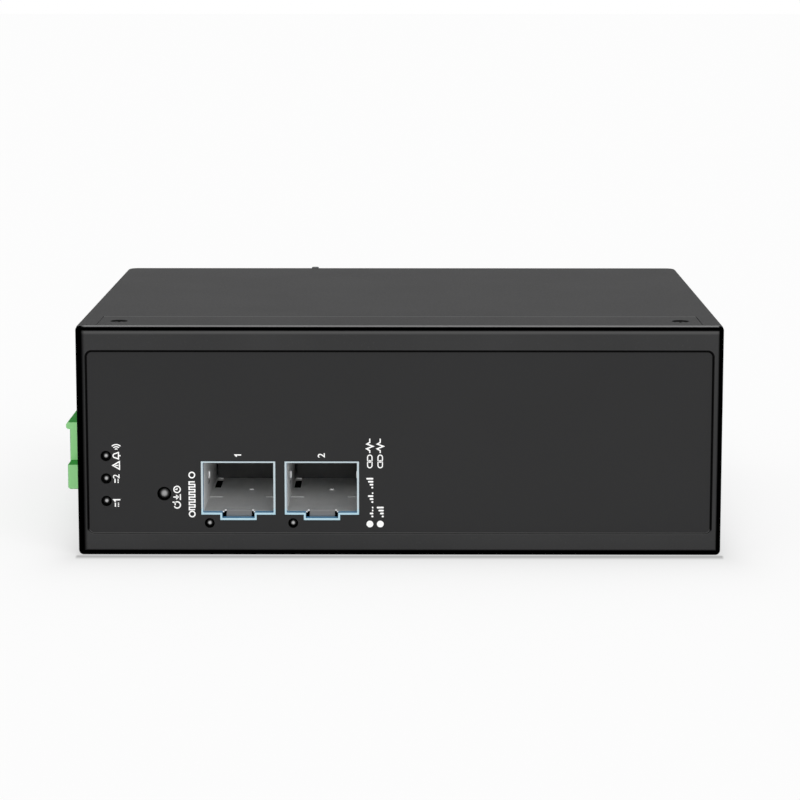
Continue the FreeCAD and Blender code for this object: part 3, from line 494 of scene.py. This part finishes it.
def cage_metal():
    """Dull nickel on folded sheet, with painted light and shade: the floor is painted dark near the mouth and
    lighter further in, and holes, a slit and the latch tongue are painted darker.
    """
    made, tree, sockets = new_material("cage_nickel", 0.4)
    lines = group_node(tree, BRUSHED, Line_Size=0.12, Along_X=1, Along_Y=0.08, Along_Z=1)
    (first, _), (second, last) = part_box("module_cage_1"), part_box("module_cage_2")
    axes = object_axes(tree)
    depth = minus(tree, axes["Y"], first.y)
    off = apart(tree, apart(tree, axes["X"], (first.x + last.x) / 2), (second.x - first.x) / 2)

    # Painted light and shade: upward faces are painted darker near the mouth, where the light comes in, and
    # lighter further in.
    floor = ramp(tree, facing(tree)["Z"], 0.3, 0.7)
    painted_floor_light_and_shade = ramp(tree, depth, 0.0, 22 * MM, 0.30, 0.95)
    on_walls = times(tree, minus(tree, 1.0, floor), 0.88)
    level = calc(tree, "ADD", times(tree, painted_floor_light_and_shade, floor), on_walls)
    # Painted shade: the holes and the slit in black.
    level = times(tree, level, minus(tree, 1.0, painted_opening_shade(tree, axes, off, depth)))
    level = times(tree, level, ramp(tree, lines["Cloud"], 0.3, 0.7, 0.94, 1.0))
    tongue, edge = painted_latch_shade(tree, axes, off, depth)
    tone = blend(tree, level, BLACK, (1.0, 1.0, 0.99))
    # Painted shade: the latch tongue is painted grey, its lower edge a slightly bluer grey.
    tone = blend(tree, tongue, tone, (0.15, 0.15, 0.15))
    tone = blend(tree, edge, tone, (0.14, 0.15, 0.16))
    feed(tree, sockets, tone, ramp(tree, lines["Streak"], 0.0, 1.0, 0.62, 0.5),
         calc(tree, "MULTIPLY_ADD", lines["Cloud"], 0.1, 0.1))
    raise_surface(tree, sockets, lines["Height"], 0.002)
    return made


def terminal_green():
    """Moulded green nylon, with a painted highlight: paler on the faces that look forward."""
    made = coated("terminal_green", (0.055, 0.36, 0.065), grain=0.2, depth=0.003, rough=(0.7, 0.8),
                  specular=0.03, spread=0.07)
    tree, sockets, tone, _ = inner_parts(made)
    # Painted highlight: faces that look forward are painted a paler green.
    pale = ramp(tree, facing(tree)["Y"], -0.95, -0.7, 1.0, 0.0)
    feed(tree, sockets, blend(tree, pale, tone, (0.42, 0.93, 0.39)))
    return made


def laminate():
    """Solder-masked board: green with faint tracks, and painted shade under the module cages, which is black.
    """
    made, tree, sockets = new_material("laminate", 0.5)
    skin = group_node(tree, GRAIN, Grain_Size=0.2, Patch_Size=12.0)
    place = new_node(tree, "ShaderNodeTexCoord").outputs["Object"]
    tracks = new_node(tree, "ShaderNodeTexBrick",
                      {"Vector": place, "Scale": 1 / (6 * MM), "Mortar Size": 0.03})
    first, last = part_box("module_cage_1")[0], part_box("module_cage_2")[1]
    axes = object_axes(tree)
    across = times(tree, ramp(tree, axes["X"], first.x, first.x + 0.5 * MM),
                   ramp(tree, axes["X"], last.x - 0.5 * MM, last.x, 1.0, 0.0))
    # Painted shade: black on the board under the module cages.
    shaded = times(tree, across, ramp(tree, axes["Y"], last.y - 9 * MM, last.y - 8 * MM, 1.0, 0.0))
    green = blend(tree, ramp(tree, skin["Patch"], 0.3, 0.7), (0.010, 0.070, 0.030), (0.016, 0.100, 0.045))
    green = blend(tree, shaded, green, (0.001, 0.001, 0.001))
    clear = times(tree, tracks.outputs["Fac"], calc(tree, "MULTIPLY_ADD", shaded, -0.5, 0.5))
    gloss = ramp(tree, skin["Height"], 0.3, 1.0, 0.45, 0.3)
    feed(tree, sockets, blend(tree, clear, green, (0.02, 0.16, 0.07)), most(tree, gloss, shaded), shaded)
    raise_surface(tree, sockets, skin["Height"], 0.002)
    return made


FINISHES = {
    "case_black": case_coat(),
    "label_film": film(),
    "collar_blue": anodised_blue(),
    "cage_steel": cage_metal(),
    "connector_black": coated("connector_nylon", (0.20, 0.20, 0.20), grain=0.15, depth=0.003),
    "board_laminate": laminate(),
    "lens_grey": lens("lamp_lens", (0.42, 0.42, 0.42), LENS_TIP, 0.17),
    "holder_black": coated("holder_nylon", (0.008, 0.008, 0.008), grain=0.15, depth=0.003),
    "button_grey": lens("reset_button", (0.29, 0.29, 0.29), BUTTON_TIP, 0.25),
    "chip_black": coated("moulded_epoxy", (0.016, 0.016, 0.017), grain=0.08, depth=0.002),
    "sink_aluminium": plated("sink_aluminium", (0.30, 0.30, 0.31), along=(1, 0.1, 1), rough=(0.35, 0.5)),
    "pad_grey": coated("thermal_pad", (0.30, 0.32, 0.36), grain=0.2, depth=0.01, rough=(0.7, 0.85)),
    "can_aluminium": plated("can_aluminium", (0.62, 0.62, 0.63), along=(1, 1, 0.1)),
    "terminal_green": terminal_green(),
    "clamp_metal": plated("clamp_nickel", (0.60, 0.60, 0.58), along=(1, 1, 0.15)),
    "screw_zinc": plated("zinc_plate", (0.58, 0.59, 0.61), line=0.2, depth=0.003),
    "screw_black": black_oxide(),
    "pin_tin": plated("tin_plate", (0.66, 0.65, 0.63), along=(0.1, 1, 1)),
    "clip_zinc": plated("clip_zinc", (0.50, 0.51, 0.53), along=(1, 1, 0.06), line=0.16, rough=(0.28, 0.46)),
    "wire_steel": plated("spring_wire", (0.10, 0.10, 0.105), along=(1, 1, 0.05), line=0.08, rough=(0.4, 0.5)),
}
FRONT_COAT = front_coat()
INK = printed_ink()
# Painted highlight in part: a brighter, shinier copy of the cage's nickel, so that the forms made of it show
# real reflections as bright glints.
BRIGHT = plated("glinting_nickel", (0.90, 0.90, 0.89), along=(1, 0.08, 1), rough=(0.30, 0.40))

SLOT_OF = {part["node"]: part["material_slot"] for part in frame["record"]["subparts"]}
BODY_OF = {node: body for body, nodes in frame["record"]["behaviour"]["bodies"].items() for node in nodes}


def finish_of(node):
    """The material of a CAD piece."""
    return FRONT_COAT if node == "front_panel" else FINISHES[SLOT_OF[node]]


def dress(piece, material):
    """Give an object one material."""
    piece.data.materials.clear()
    piece.data.materials.append(material)


for node, piece in frame["nodes"].items():
    dress(piece, finish_of(node))


# ---------------------------------------------------------------- mesh helpers

def pick(piece):
    """Make one object the only one selected."""
    bpy.ops.object.select_all(action="DESELECT")
    piece.select_set(True)
    bpy.context.view_layer.objects.active = piece


def editing(piece):
    """Open one object for edit operators, with nothing selected in it."""
    pick(piece)
    bpy.ops.object.mode_set(mode="EDIT")
    bpy.ops.mesh.select_all(action="DESELECT")


def closed():
    """Leave edit mode."""
    bpy.ops.object.mode_set(mode="OBJECT")


def settle(piece):
    """Put an object's place into its mesh."""
    pick(piece)
    bpy.ops.object.transform_apply(location=True, rotation=True, scale=True)


def apply_modifiers(piece):
    """Turn an object's modifiers into mesh, in their order."""
    pick(piece)
    for modifier in list(piece.modifiers):
        bpy.ops.object.modifier_apply(modifier=modifier.name)


def mark_long_edges(piece, angle, shortest):
    """Mark for a bevel the sharp edges that are longer than a length in millimetres."""
    editing(piece)
    bpy.ops.mesh.select_mode(type="EDGE")
    bpy.ops.mesh.edges_select_sharp(sharpness=math.radians(angle))
    closed()
    weights = piece.data.attributes.new("bevel_weight_edge", "FLOAT", "EDGE")
    for edge in piece.data.edges:
        start, end = [piece.data.vertices[corner].co for corner in edge.vertices]
        if edge.select and (end - start).length > shortest * MM:
            weights.data[edge.index].value = 1.0


def add_bevel(piece, width, segments=2, angle=40, shortest=0.0):
    """Break the sharp edges of a piece, or only those longer than a length in millimetres."""
    if shortest:
        mark_long_edges(piece, angle, shortest)
    modifier = piece.modifiers.new("edges", "BEVEL")
    modifier.width = width * MM
    modifier.segments = segments
    modifier.limit_method = "WEIGHT" if shortest else "ANGLE"
    modifier.angle_limit = math.radians(angle)
    modifier.use_clamp_overlap = False
    apply_modifiers(piece)


def smooth(piece, angle):
    """Shade the curved faces smooth, and keep the flat faces truly flat."""
    pick(piece)
    bpy.ops.object.shade_smooth_by_angle(angle=math.radians(angle))
    flat = piece.modifiers.new("flat_faces", "WEIGHTED_NORMAL")
    flat.keep_sharp = True
    apply_modifiers(piece)


def place_piece(piece, name, body, slot, material=None, angle=35):
    """Name, finish and fix a finished piece to its body."""
    piece.name = name
    piece.data.name = name
    dress(piece, material or FINISHES[slot])
    smooth(piece, angle)
    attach(piece, body)
    return piece


def move_points(piece, chosen, step):
    """Move some of an object's points by a step in millimetres."""
    editing(piece)
    bpy.ops.mesh.select_mode(type="VERT")
    closed()
    for vertex in piece.data.vertices:
        vertex.select = chosen(vertex.co)
    bpy.ops.object.mode_set(mode="EDIT")
    bpy.ops.transform.translate(value=[part * MM for part in step])
    closed()


# ---------------------------------------------------------------- pieces with broken edges

def thin_lintel(piece, low, high):
    """Make the upper bar of a slot's trim thinner than its sides, and a little higher."""
    for deepest, highest, lift in ((0.2, -0.1, 0.22), (0.6, 0.2, 0.34)):
        move_points(piece, lambda place: highest * MM < high.z - place.z < deepest * MM, (0, 0, lift))


def shorten_wire(piece, low, high):
    """Let the wire's upper end stand only a little above the back edge."""
    move_points(piece, lambda place: high.z - place.z < 1 * MM, (0, 0, -0.45))


def lower_lip(piece, low, high):
    """Bring the overhanging lip along the plug's top down a little."""
    move_points(piece, lambda place: high.z - place.z < 1.8 * MM, (0, 0, -0.25))


def fit_connector(piece, low, high):
    """Raise a card connector's mouth to mid cage, and fill the cage's width with its housing."""
    move_points(piece, lambda place: low.z + 1 * MM < place.z < high.z - 1 * MM, (0, 0, 1.4))
    for outward, side in ((-1.1, low.x), (1.1, high.x)):
        move_points(piece, lambda place: abs(place.x - side) < 0.3 * MM, (outward, 0, 0))


# How far each piece's edges are broken, in millimetres.
EDGE_BREAKS = {
    "front_panel": 0.10, "chassis": 0.18, "cover": 0.14, "rail_clip": 0.22,
    "port_collar_1": 0.06, "port_collar_2": 0.06, "terminal_plug": 0.16, "terminal_header": 0.14,
    "cover_screws": 0.05, "clip_screws": 0.05, "ground_screw": 0.08, "ground_washer": 0.08,
    "clip_wire": 0.15, "module_connector_1": 0.08, "module_connector_2": 0.08,
}
# The plug's short edges, at its wire entries, stay sharp, because a bevel there tears its faces.
SHORTEST_EDGE = {"terminal_plug": 4.0}
RESHAPED = {
    "port_collar_1": thin_lintel, "port_collar_2": thin_lintel, "terminal_plug": lower_lip,
    "clip_wire": shorten_wire, "module_connector_1": fit_connector, "module_connector_2": fit_connector,
}


def soften(node, width):
    """Show a merged copy of a CAD piece whose sharp edges are broken."""
    copy = bpy.data.objects.new(node + "_softened", frame["nodes"][node].data.copy())
    bpy.context.scene.collection.objects.link(copy)
    editing(copy)
    bpy.ops.mesh.select_all(action="SELECT")
    bpy.ops.mesh.remove_doubles(threshold=0.001 * MM)
    bpy.ops.mesh.dissolve_limited(angle_limit=math.radians(0.5))
    closed()
    add_bevel(copy, width, shortest=SHORTEST_EDGE.get(node, 0.0))
    if node in RESHAPED:
        RESHAPED[node](copy, *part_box(node))
    place_piece(copy, node + "_softened", BODY_OF[node], SLOT_OF[node], finish_of(node))
    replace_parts(copy, node)


for node, width in EDGE_BREAKS.items():
    soften(node, width)


# ---------------------------------------------------------------- print on the film

# Signs are drawn in millimetres, along the reading direction, which runs up the film, and across it.
PEN = 0.25
INK_TALL = 0.03 * MM
TO_FRONT = Matrix.Rotation(math.radians(90), 4, "X")
UPWARD = Matrix.Rotation(math.radians(-90), 4, "Y")


def onto_film(piece, x, z):
    """Stand a flat mark on the film at a place in the front view, reading upward."""
    settle(piece)
    piece.data.transform(Matrix.Translation((x, FILM_FACE, z)) @ UPWARD @ TO_FRONT)
    return piece


def ink_bar(x, z, length, wide, along, across):
    """A short bar with round ends that runs up the film."""
    bpy.ops.mesh.primitive_cube_add(size=1, location=(along, across, INK_TALL / 2),
                                    scale=(length, wide, INK_TALL))
    piece = bpy.context.active_object
    settle(piece)
    editing(piece)
    bpy.ops.mesh.select_mode(type="EDGE")
    closed()
    for edge in piece.data.edges:
        ends = [piece.data.vertices[index].co for index in edge.vertices]
        edge.select = abs(ends[0].z - ends[1].z) > INK_TALL / 2
    pick(piece)
    bpy.ops.object.mode_set(mode="EDIT")
    bpy.ops.mesh.bevel(offset=min(length, wide) * 0.45, segments=4, affect="EDGES")
    closed()
    return onto_film(piece, x, z)


def ink_disc(x, z, radius, along=0.0, across=0.0):
    """A round dot."""
    bpy.ops.mesh.primitive_cylinder_add(vertices=32, radius=radius, depth=INK_TALL,
                                        location=(along, across, INK_TALL / 2))
    return onto_film(bpy.context.active_object, x, z)


def ink_line(x, z, points, wide, cyclic):
    """A stroke through points given in the reading direction and across it, in metres."""
    curve = bpy.data.curves.new("stroke", "CURVE")
    curve.dimensions = "2D"
    spline = curve.splines.new("POLY")
    spline.points.add(len(points) - 1)
    for point, (along, across) in zip(spline.points, points):
        point.co = (along, across, 0, 1)
    spline.use_cyclic_u = cyclic
    piece = bpy.data.objects.new("stroke", curve)
    bpy.context.scene.collection.objects.link(piece)
    pick(piece)
    bpy.ops.object.convert(target="MESH")
    editing(piece)
    bpy.ops.mesh.select_all(action="SELECT")
    bpy.ops.mesh.extrude_region_move(TRANSFORM_OT_translate={"value": (0, 0, INK_TALL)})
    closed()
    widen = piece.modifiers.new("width", "SOLIDIFY")
    widen.thickness = wide
    widen.offset = 0
    widen.use_even_offset = True
    apply_modifiers(piece)
    return onto_film(piece, x, z)


def ink_figure(text, x, z, tall):
    """A numeral centred on a place, a little bolder than its font."""
    height_share, bolder = 0.73, 0.012
    bpy.ops.object.text_add()
    piece = bpy.context.active_object
    piece.data.body = text
    piece.data.size = tall / height_share
    piece.data.align_x = "CENTER"
    piece.data.align_y = "CENTER"
    piece.data.extrude = INK_TALL / 2
    piece.data.offset = bolder * tall
    piece.data.resolution_u = 6
    bpy.ops.object.convert(target="MESH")
    return onto_film(piece, x, z)


def join(pieces, name):
    """One object from several."""
    bpy.ops.object.select_all(action="DESELECT")
    for piece in pieces:
        piece.select_set(True)
    bpy.context.view_layer.objects.active = pieces[0]
    bpy.ops.object.join()
    pieces[0].name = name
    return pieces[0]


def middle(node):
    """The centre of a CAD piece."""
    low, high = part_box(node)
    return (low + high) / 2


def stroke(x, z, points, along, wide=PEN, cyclic=False):
    """A stroke through points in millimetres, moved along the line of signs."""
    moved = [((a + along) * MM, b * MM) for a, b in points]
    return [ink_line(x, z, moved, wide * MM, cyclic)]


def turn(radius, start, end, centre=(0.0, 0.0), steps=20):
    """Points round an arc, between two angles in degrees."""
    angles = [math.radians(start + (end - start) * step / steps) for step in range(steps + 1)]
    return [(radius * math.cos(angle) + centre[0], radius * math.sin(angle) + centre[1]) for angle in angles]


def numeral_one(x, z, tall, along=0.0):
    """A plain 1: a stem with a flag."""
    shape = [(-0.20, 0.20), (0.08, 0.44), (0.08, -0.50)]
    return stroke(x, z, [(a * tall, b * tall) for a, b in shape], along, 0.2 * tall)


def direct_current(x, z, along):
    """A line over a broken line."""
    marks = stroke(x, z, [(-0.42, 0.34), (0.42, 0.34)], along)
    for step in (-1, 0, 1):
        marks += stroke(x, z, [(step * 0.32 - 0.1, -0.30), (step * 0.32 + 0.1, -0.30)], along)
    return marks


def warning(x, z, along):
    """A triangle with a stroke and a point in it."""
    return (stroke(x, z, [(-0.80, -0.62), (0.80, -0.62), (0, 0.75)], along, 0.24, True)
            + stroke(x, z, [(0, 0.25), (0, -0.40)], along, 0.22))


def bell(x, z, along):
    """A bell with its clapper."""
    dome = turn(0.42, 180, 0, (0, 0.25))
    return (stroke(x, z, [(-0.68, -0.45)] + dome + [(0.68, -0.45)], along, 0.24, True)
            + [ink_disc(x, z, 0.16 * MM, along * MM, -0.72 * MM)])


def sound(x, z, along):
    """Three arcs that spread from a point."""
    marks = []
    for radius in (0.40, 0.85, 1.30):
        marks += stroke(x, z, turn(radius, -42, 42, (-0.75, 0)), along, 0.22)
    return marks


def restart(x, z, along):
    """A circular arrow."""
    return (stroke(x, z, turn(0.66, 115, 405), along, 0.26)
            + stroke(x, z, [(0.62, 0.95), (0.50, 0.42), (-0.05, 0.42)], along, 0.26))


def press(x, z, along):
    """An arrow that points down at a bar."""
    return (stroke(x, z, [(0, 0.78), (0, -0.15)], along)
            + stroke(x, z, [(-0.42, 0.20), (0, -0.24), (0.42, 0.20)], along)
            + stroke(x, z, [(-0.62, -0.66), (0.62, -0.66)], along))


def clock(x, z, along):
    """A ring with two hands: hold for a while."""
    return (stroke(x, z, turn(0.66, 0, 342), along, 0.24, True)
            + stroke(x, z, [(0, 0.42), (0, 0), (0.30, 0)], along, 0.2))


def chain(x, z, along):
    """Two links through each other."""
    marks = []
    for side in (-0.58, 0.58):
        link = turn(0.46, 90, 270, (side - 0.28, 0)) + turn(0.46, -90, 90, (side + 0.28, 0))
        marks += stroke(x, z, link, along, 0.22, True)
    return marks


def pulse(x, z, along):
    """A line that beats."""
    beats = [(-1.50, 0), (-1.0, 0), (-0.62, 0.66), (-0.10, -0.66), (0.36, 0.60), (0.72, 0), (1.50, 0)]
    return stroke(x, z, beats, along)


def square_wave(x, z, along):
    """A square wave, for light sent in steps."""
    count, pitch, half = 6, 1.06, 0.58
    points = []
    start = -count * pitch / 2
    for step in range(count):
        left = start + step * pitch
        points += [(left, -half), (left, half), (left + pitch / 2, half), (left + pitch / 2, -half)]
    return stroke(x, z, points, along, 0.26)


def rising_bars(x, z, along, full):
    """Four places for rising bars, of which some are full and the rest are short."""
    lowest, rise, short, wide, pitch, foot = 0.42, 0.34, 0.30, 0.36, 0.62, -0.72
    marks = []
    for step in range(4):
        tall = lowest + rise * step if step < full else short
        at = along + (step - 1.5) * pitch
        marks.append(ink_bar(x, z, wide * MM, tall * MM, at * MM, (tall / 2 + foot) * MM))
    return marks


def lamp_signs():
    """Signs beside the lamps: two supplies with their numbers, and an alarm with a bell that rings."""
    beside, lower, number = 2.15 * MM, 0.3 * MM, 0.46
    first, second, alarm = middle("power_led_1"), middle("power_led_2"), middle("alarm_led")
    second_x, first_x, alarm_x = second.x + beside, first.x + beside, alarm.x + beside
    return (direct_current(second_x, second.z, -number)
            + [ink_figure("2", second_x, second.z + number * MM, 1.4 * MM)]
            + direct_current(first_x, first.z - lower, -number)
            + numeral_one(first_x, first.z - lower, 1.4, number)
            + warning(alarm_x, alarm.z, -1.95) + bell(alarm_x, alarm.z, 0.08) + sound(alarm_x, alarm.z, 1.85))


def button_signs():
    """Signs beside the reset button: start again, press, hold for a while."""
    button = middle("reset_plunger")
    x, z = button.x + 2.65 * MM, button.z - 0.75 * MM
    return restart(x, z, -1.6) + press(x, z, 0.05) + clock(x, z, 1.65)


def slot_signs(slots):
    """A numeral above each slot, and a wave between two rings that runs up the first one's side."""
    above = slots[0][1].z + 1.45 * MM
    centres = [(low.x + high.x) / 2 for low, high in slots]
    marks = numeral_one(centres[0], above, 1.3) + [ink_figure("2", centres[1], above, 1.5 * MM)]
    x, z = slots[0][0].x - 1.88 * MM, (slots[0][0].z + slots[0][1].z) / 2 - 0.7 * MM
    marks += square_wave(x, z, 0.0)
    for end in (-4.08, 4.08):
        marks += stroke(x, z, turn(0.58, 0, 342), end, 0.26, True)
    return marks


def key_signs(slots):
    """The key beside the last slot: two rows, each a dot, groups of rising bars, a link and a pulse."""
    foot = slots[-1][0].z - 0.83 * MM
    marks = []
    for row, groups in ((0, (2, 3, 4)), (1, (4,))):
        x = slots[-1][1].x + (2.22 + 2.14 * row) * MM
        marks.append(ink_disc(x, foot, 0.70 * MM))
        for place, full in enumerate(groups):
            marks += rising_bars(x, foot, 2.52 + 3.02 * place, full)
        marks += chain(x, foot, 13.1) + pulse(x, foot, 16.35)
    return marks


def print_front():
    """White marks beside the lamps, the reset button and the slots."""
    slots = [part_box("port_collar_%d" % (port + 1)) for port in range(PORTS)]
    marks = lamp_signs() + button_signs() + slot_signs(slots) + key_signs(slots)
    place_piece(join(marks, "front_print"), "front_print", CASE, "label_film", INK)


print_front()


# ---------------------------------------------------------------- domes of lamps and button

# Each rod ends a little short of the node that it shows, so that it clears the part behind it.
ROD_CLEARANCE = 0.02 * MM


def domed(name, node, radius, stretch):
    """A round rod with a domed tip towards the front, in the place of a plainer one."""
    low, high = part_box(node)
    at = middle(node)
    dome = radius * stretch
    bpy.ops.mesh.primitive_uv_sphere_add(segments=32, ring_count=16, radius=radius,
                                         rotation=(math.radians(90), 0, 0), scale=(1, 1, stretch),
                                         location=(at.x, low.y + dome, at.z))
    piece = bpy.context.active_object
    settle(piece)
    editing(piece)
    bpy.ops.mesh.select_all(action="SELECT")
    bpy.ops.mesh.bisect(plane_co=(at.x, low.y + dome, at.z), plane_no=(0, 1, 0), clear_outer=True)
    bpy.ops.mesh.select_all(action="DESELECT")
    bpy.ops.mesh.select_mode(type="EDGE")
    bpy.ops.mesh.select_non_manifold()
    length = high.y - low.y - dome - ROD_CLEARANCE
    bpy.ops.mesh.extrude_region_move(TRANSFORM_OT_translate={"value": (0, length, 0)})
    bpy.ops.mesh.edge_face_add()
    bpy.ops.mesh.select_all(action="SELECT")
    bpy.ops.mesh.normals_make_consistent(inside=False)
    closed()
    return place_piece(piece, name, BODY_OF[node], SLOT_OF[node], finish_of(node), 50)


# Each rod's radius in millimetres, and its dome's depth as a share of that.
DOMES = {"power_led_1": (0.80, 0.9), "power_led_2": (0.80, 0.9), "alarm_led": (0.80, 0.9),
         "link_light_pipe_1": (0.78, 0.9), "link_light_pipe_2": (0.78, 0.9), "reset_plunger": (1.20, 0.6)}
for node, (radius, stretch) in DOMES.items():
    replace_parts(domed(node + "_dome", node, radius * MM, stretch), node)


# ---------------------------------------------------------------- presswork inside the module cages

def pressed_block(low, high, radius):
    """A small raised form with rounded edges."""
    size = [b - a for a, b in zip(low, high)]
    centre = [(a + b) / 2 for a, b in zip(low, high)]
    bpy.ops.mesh.primitive_cube_add(size=1, location=centre, scale=size)
    piece = bpy.context.active_object
    settle(piece)
    add_bevel(piece, radius, 3, 30)
    return piece


# Forms on a cage's floor, in millimetres: left and right of its centre line, near and far end from its
# mouth, and height.
PRESSED = [(-7.2, -4.4, 15.1, 15.35, 0.14), (4.9, 7.2, 15.1, 15.35, 0.14)]
# The forms in this list take the brighter copy of the nickel, a painted highlight.
GLINT_FORMS = [(0.8, 1.75, 23.2, 23.45, 0.27), (-7.0, -5.6, 35.75, 36.0, 0.30)]


def floor_forms(port, sizes):
    """Low forms that stand on a cage's floor."""
    low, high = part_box("module_cage_%d" % port)
    centre, front = (low.x + high.x) / 2, low.y
    forms = []
    for left, right, near, far, tall in sizes:
        forms.append(pressed_block((centre + left * MM, front + near * MM, CAGE_FLOOR - 0.1 * MM),
                                   (centre + right * MM, front + far * MM, CAGE_FLOOR + tall * MM), 0.04))
    return forms


def wall_tabs(port):
    """A small tab bent in from each of a cage's side walls."""
    low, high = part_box("module_cage_%d" % port)
    near, far = low.y + 12.6 * MM, low.y + 12.9 * MM
    tabs = []
    for side in (low.x + 0.25 * MM, high.x - 0.75 * MM):
        tabs.append(pressed_block((side, near, CAGE_FLOOR + 4.5 * MM),
                                  (side + 0.5 * MM, far, CAGE_FLOOR + 6.1 * MM), 0.1))
    return tabs


def cage_presswork(port):
    """The dull stops on a cage's floor, and the forms on its floor and walls, which take a brighter, shinier
    copy of the nickel as a painted highlight.
    """
    dull_name, glint_name = "cage_presswork_%d" % port, "cage_dimples_%d" % port
    dull = join(floor_forms(port, PRESSED), dull_name)
    glint_forms = join(floor_forms(port, GLINT_FORMS) + wall_tabs(port), glint_name)
    place_piece(glint_forms, glint_name, CASE, "cage_steel", BRIGHT, 50)
    place_piece(dull, dull_name, CASE, "cage_steel", angle=50)


for port in range(PORTS):
    cage_presswork(port + 1)


# ---------------------------------------------------------------- floor, light and camera

def white_rays(tree):
    """1 for rays from the camera, a glossy surface or glass, and 0 for light on a dull surface."""
    path = new_node(tree, "ShaderNodeLightPath").outputs
    seen = most(tree, path["Is Camera Ray"], path["Is Glossy Ray"])
    return most(tree, seen, path["Is Transmission Ray"])


def contact_shade(tree):
    """Darker floor where it meets the case: deep in front of it, faint and narrow beside it."""
    low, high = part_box("chassis")
    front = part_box("front_panel")[0].y
    axes = object_axes(tree)
    beside = most(tree, minus(tree, low.x, axes["X"]), minus(tree, axes["X"], high.x))
    beside = most(tree, beside, 0.0)
    ahead = minus(tree, front, axes["Y"])
    clear = most(tree, most(tree, ahead, minus(tree, axes["Y"], high.y)), 0.0)
    away, close = [calc(tree, "SQRT", calc(tree, "MULTIPLY_ADD", times(tree, beside, beside), stretch,
                                           times(tree, clear, clear)))
                   for stretch in (6.0, 40.0)]
    fade = calc(tree, "EXPONENT", calc(tree, "DIVIDE", away, -10 * MM))
    wide = calc(tree, "MULTIPLY_ADD", fade, -0.20, 1.0)
    deep = times(tree, ramp(tree, close, 1.0 * MM, 4.4 * MM, 0.43, 0.0), beyond(tree, ahead, -1, 1.0))
    return times(tree, wide, minus(tree, 1.0, deep))


# The floor lies just under the case, so that the two faces never coincide.
FLOOR_GAP = 0.02 * MM


def make_floor():
    """A pale floor that mostly glows towards the viewer, and so stays white."""
    bpy.ops.mesh.primitive_plane_add(size=12, location=(0, 0, -FLOOR_GAP))
    floor = bpy.context.active_object
    floor.name = "floor"
    made = bpy.data.materials.new("pale_floor")
    made.use_nodes = True
    tree = made.node_tree
    tree.nodes.clear()
    shade = contact_shade(tree)
    grey = new_node(tree, "ShaderNodeCombineColor", {"Red": shade, "Green": shade, "Blue": shade}).outputs[0]
    dull = new_node(tree, "ShaderNodeBsdfDiffuse", {"Color": blend(tree, 0.97, (0, 0, 0), grey)})
    glow = new_node(tree, "ShaderNodeEmission", {"Color": grey, "Strength": 1.0})
    share = times(tree, white_rays(tree), 0.75)
    mixed = new_node(tree, "ShaderNodeMixShader", {0: share, 1: dull.outputs[0], 2: glow.outputs[0]})
    put = new_node(tree, "ShaderNodeOutputMaterial")
    tree.links.new(mixed.outputs[0], put.inputs["Surface"])
    floor.data.materials.append(made)


def make_world():
    """White all round, and half as strong for the light that falls on dull surfaces."""
    world = bpy.data.worlds.new("white_studio")
    bpy.context.scene.world = world
    world.use_nodes = True
    tree = world.node_tree
    background = tree.nodes["Background"]
    background.inputs["Color"].default_value = (1, 1, 1, 1)
    strength = calc(tree, "MULTIPLY_ADD", white_rays(tree), 0.5, 0.5)
    tree.links.new(strength, background.inputs["Strength"])


def make_lights():
    """One wide soft light, from above the viewer's right shoulder."""
    light = bpy.data.lights.new("softbox", "SUN")
    light.energy = 2.1
    light.angle = math.radians(60)
    lamp = bpy.data.objects.new("softbox", light)
    bpy.context.scene.collection.objects.link(lamp)
    towards_light = Vector((0.30, -1.0, 0.90))
    lamp.rotation_euler = towards_light.to_track_quat("Z", "Y").to_euler()


def make_camera():
    """A long lens, almost square on to the front and a little above it."""
    data = bpy.data.cameras.new("front_view")
    data.lens = CAMERA_LENS
    camera = bpy.data.objects.new("front_view", data)
    bpy.context.scene.collection.objects.link(camera)
    camera.location = CAMERA_PLACE
    camera.rotation_euler = Euler((math.radians(90 - CAMERA_TILT), 0, math.radians(CAMERA_TURN)))
    data.clip_start = 0.01
    bpy.context.scene.camera = camera


make_floor()
make_world()
make_lights()
make_camera()
bpy.context.scene.view_settings.view_transform = "Standard"
bpy.ops.object.select_all(action="DESELECT")
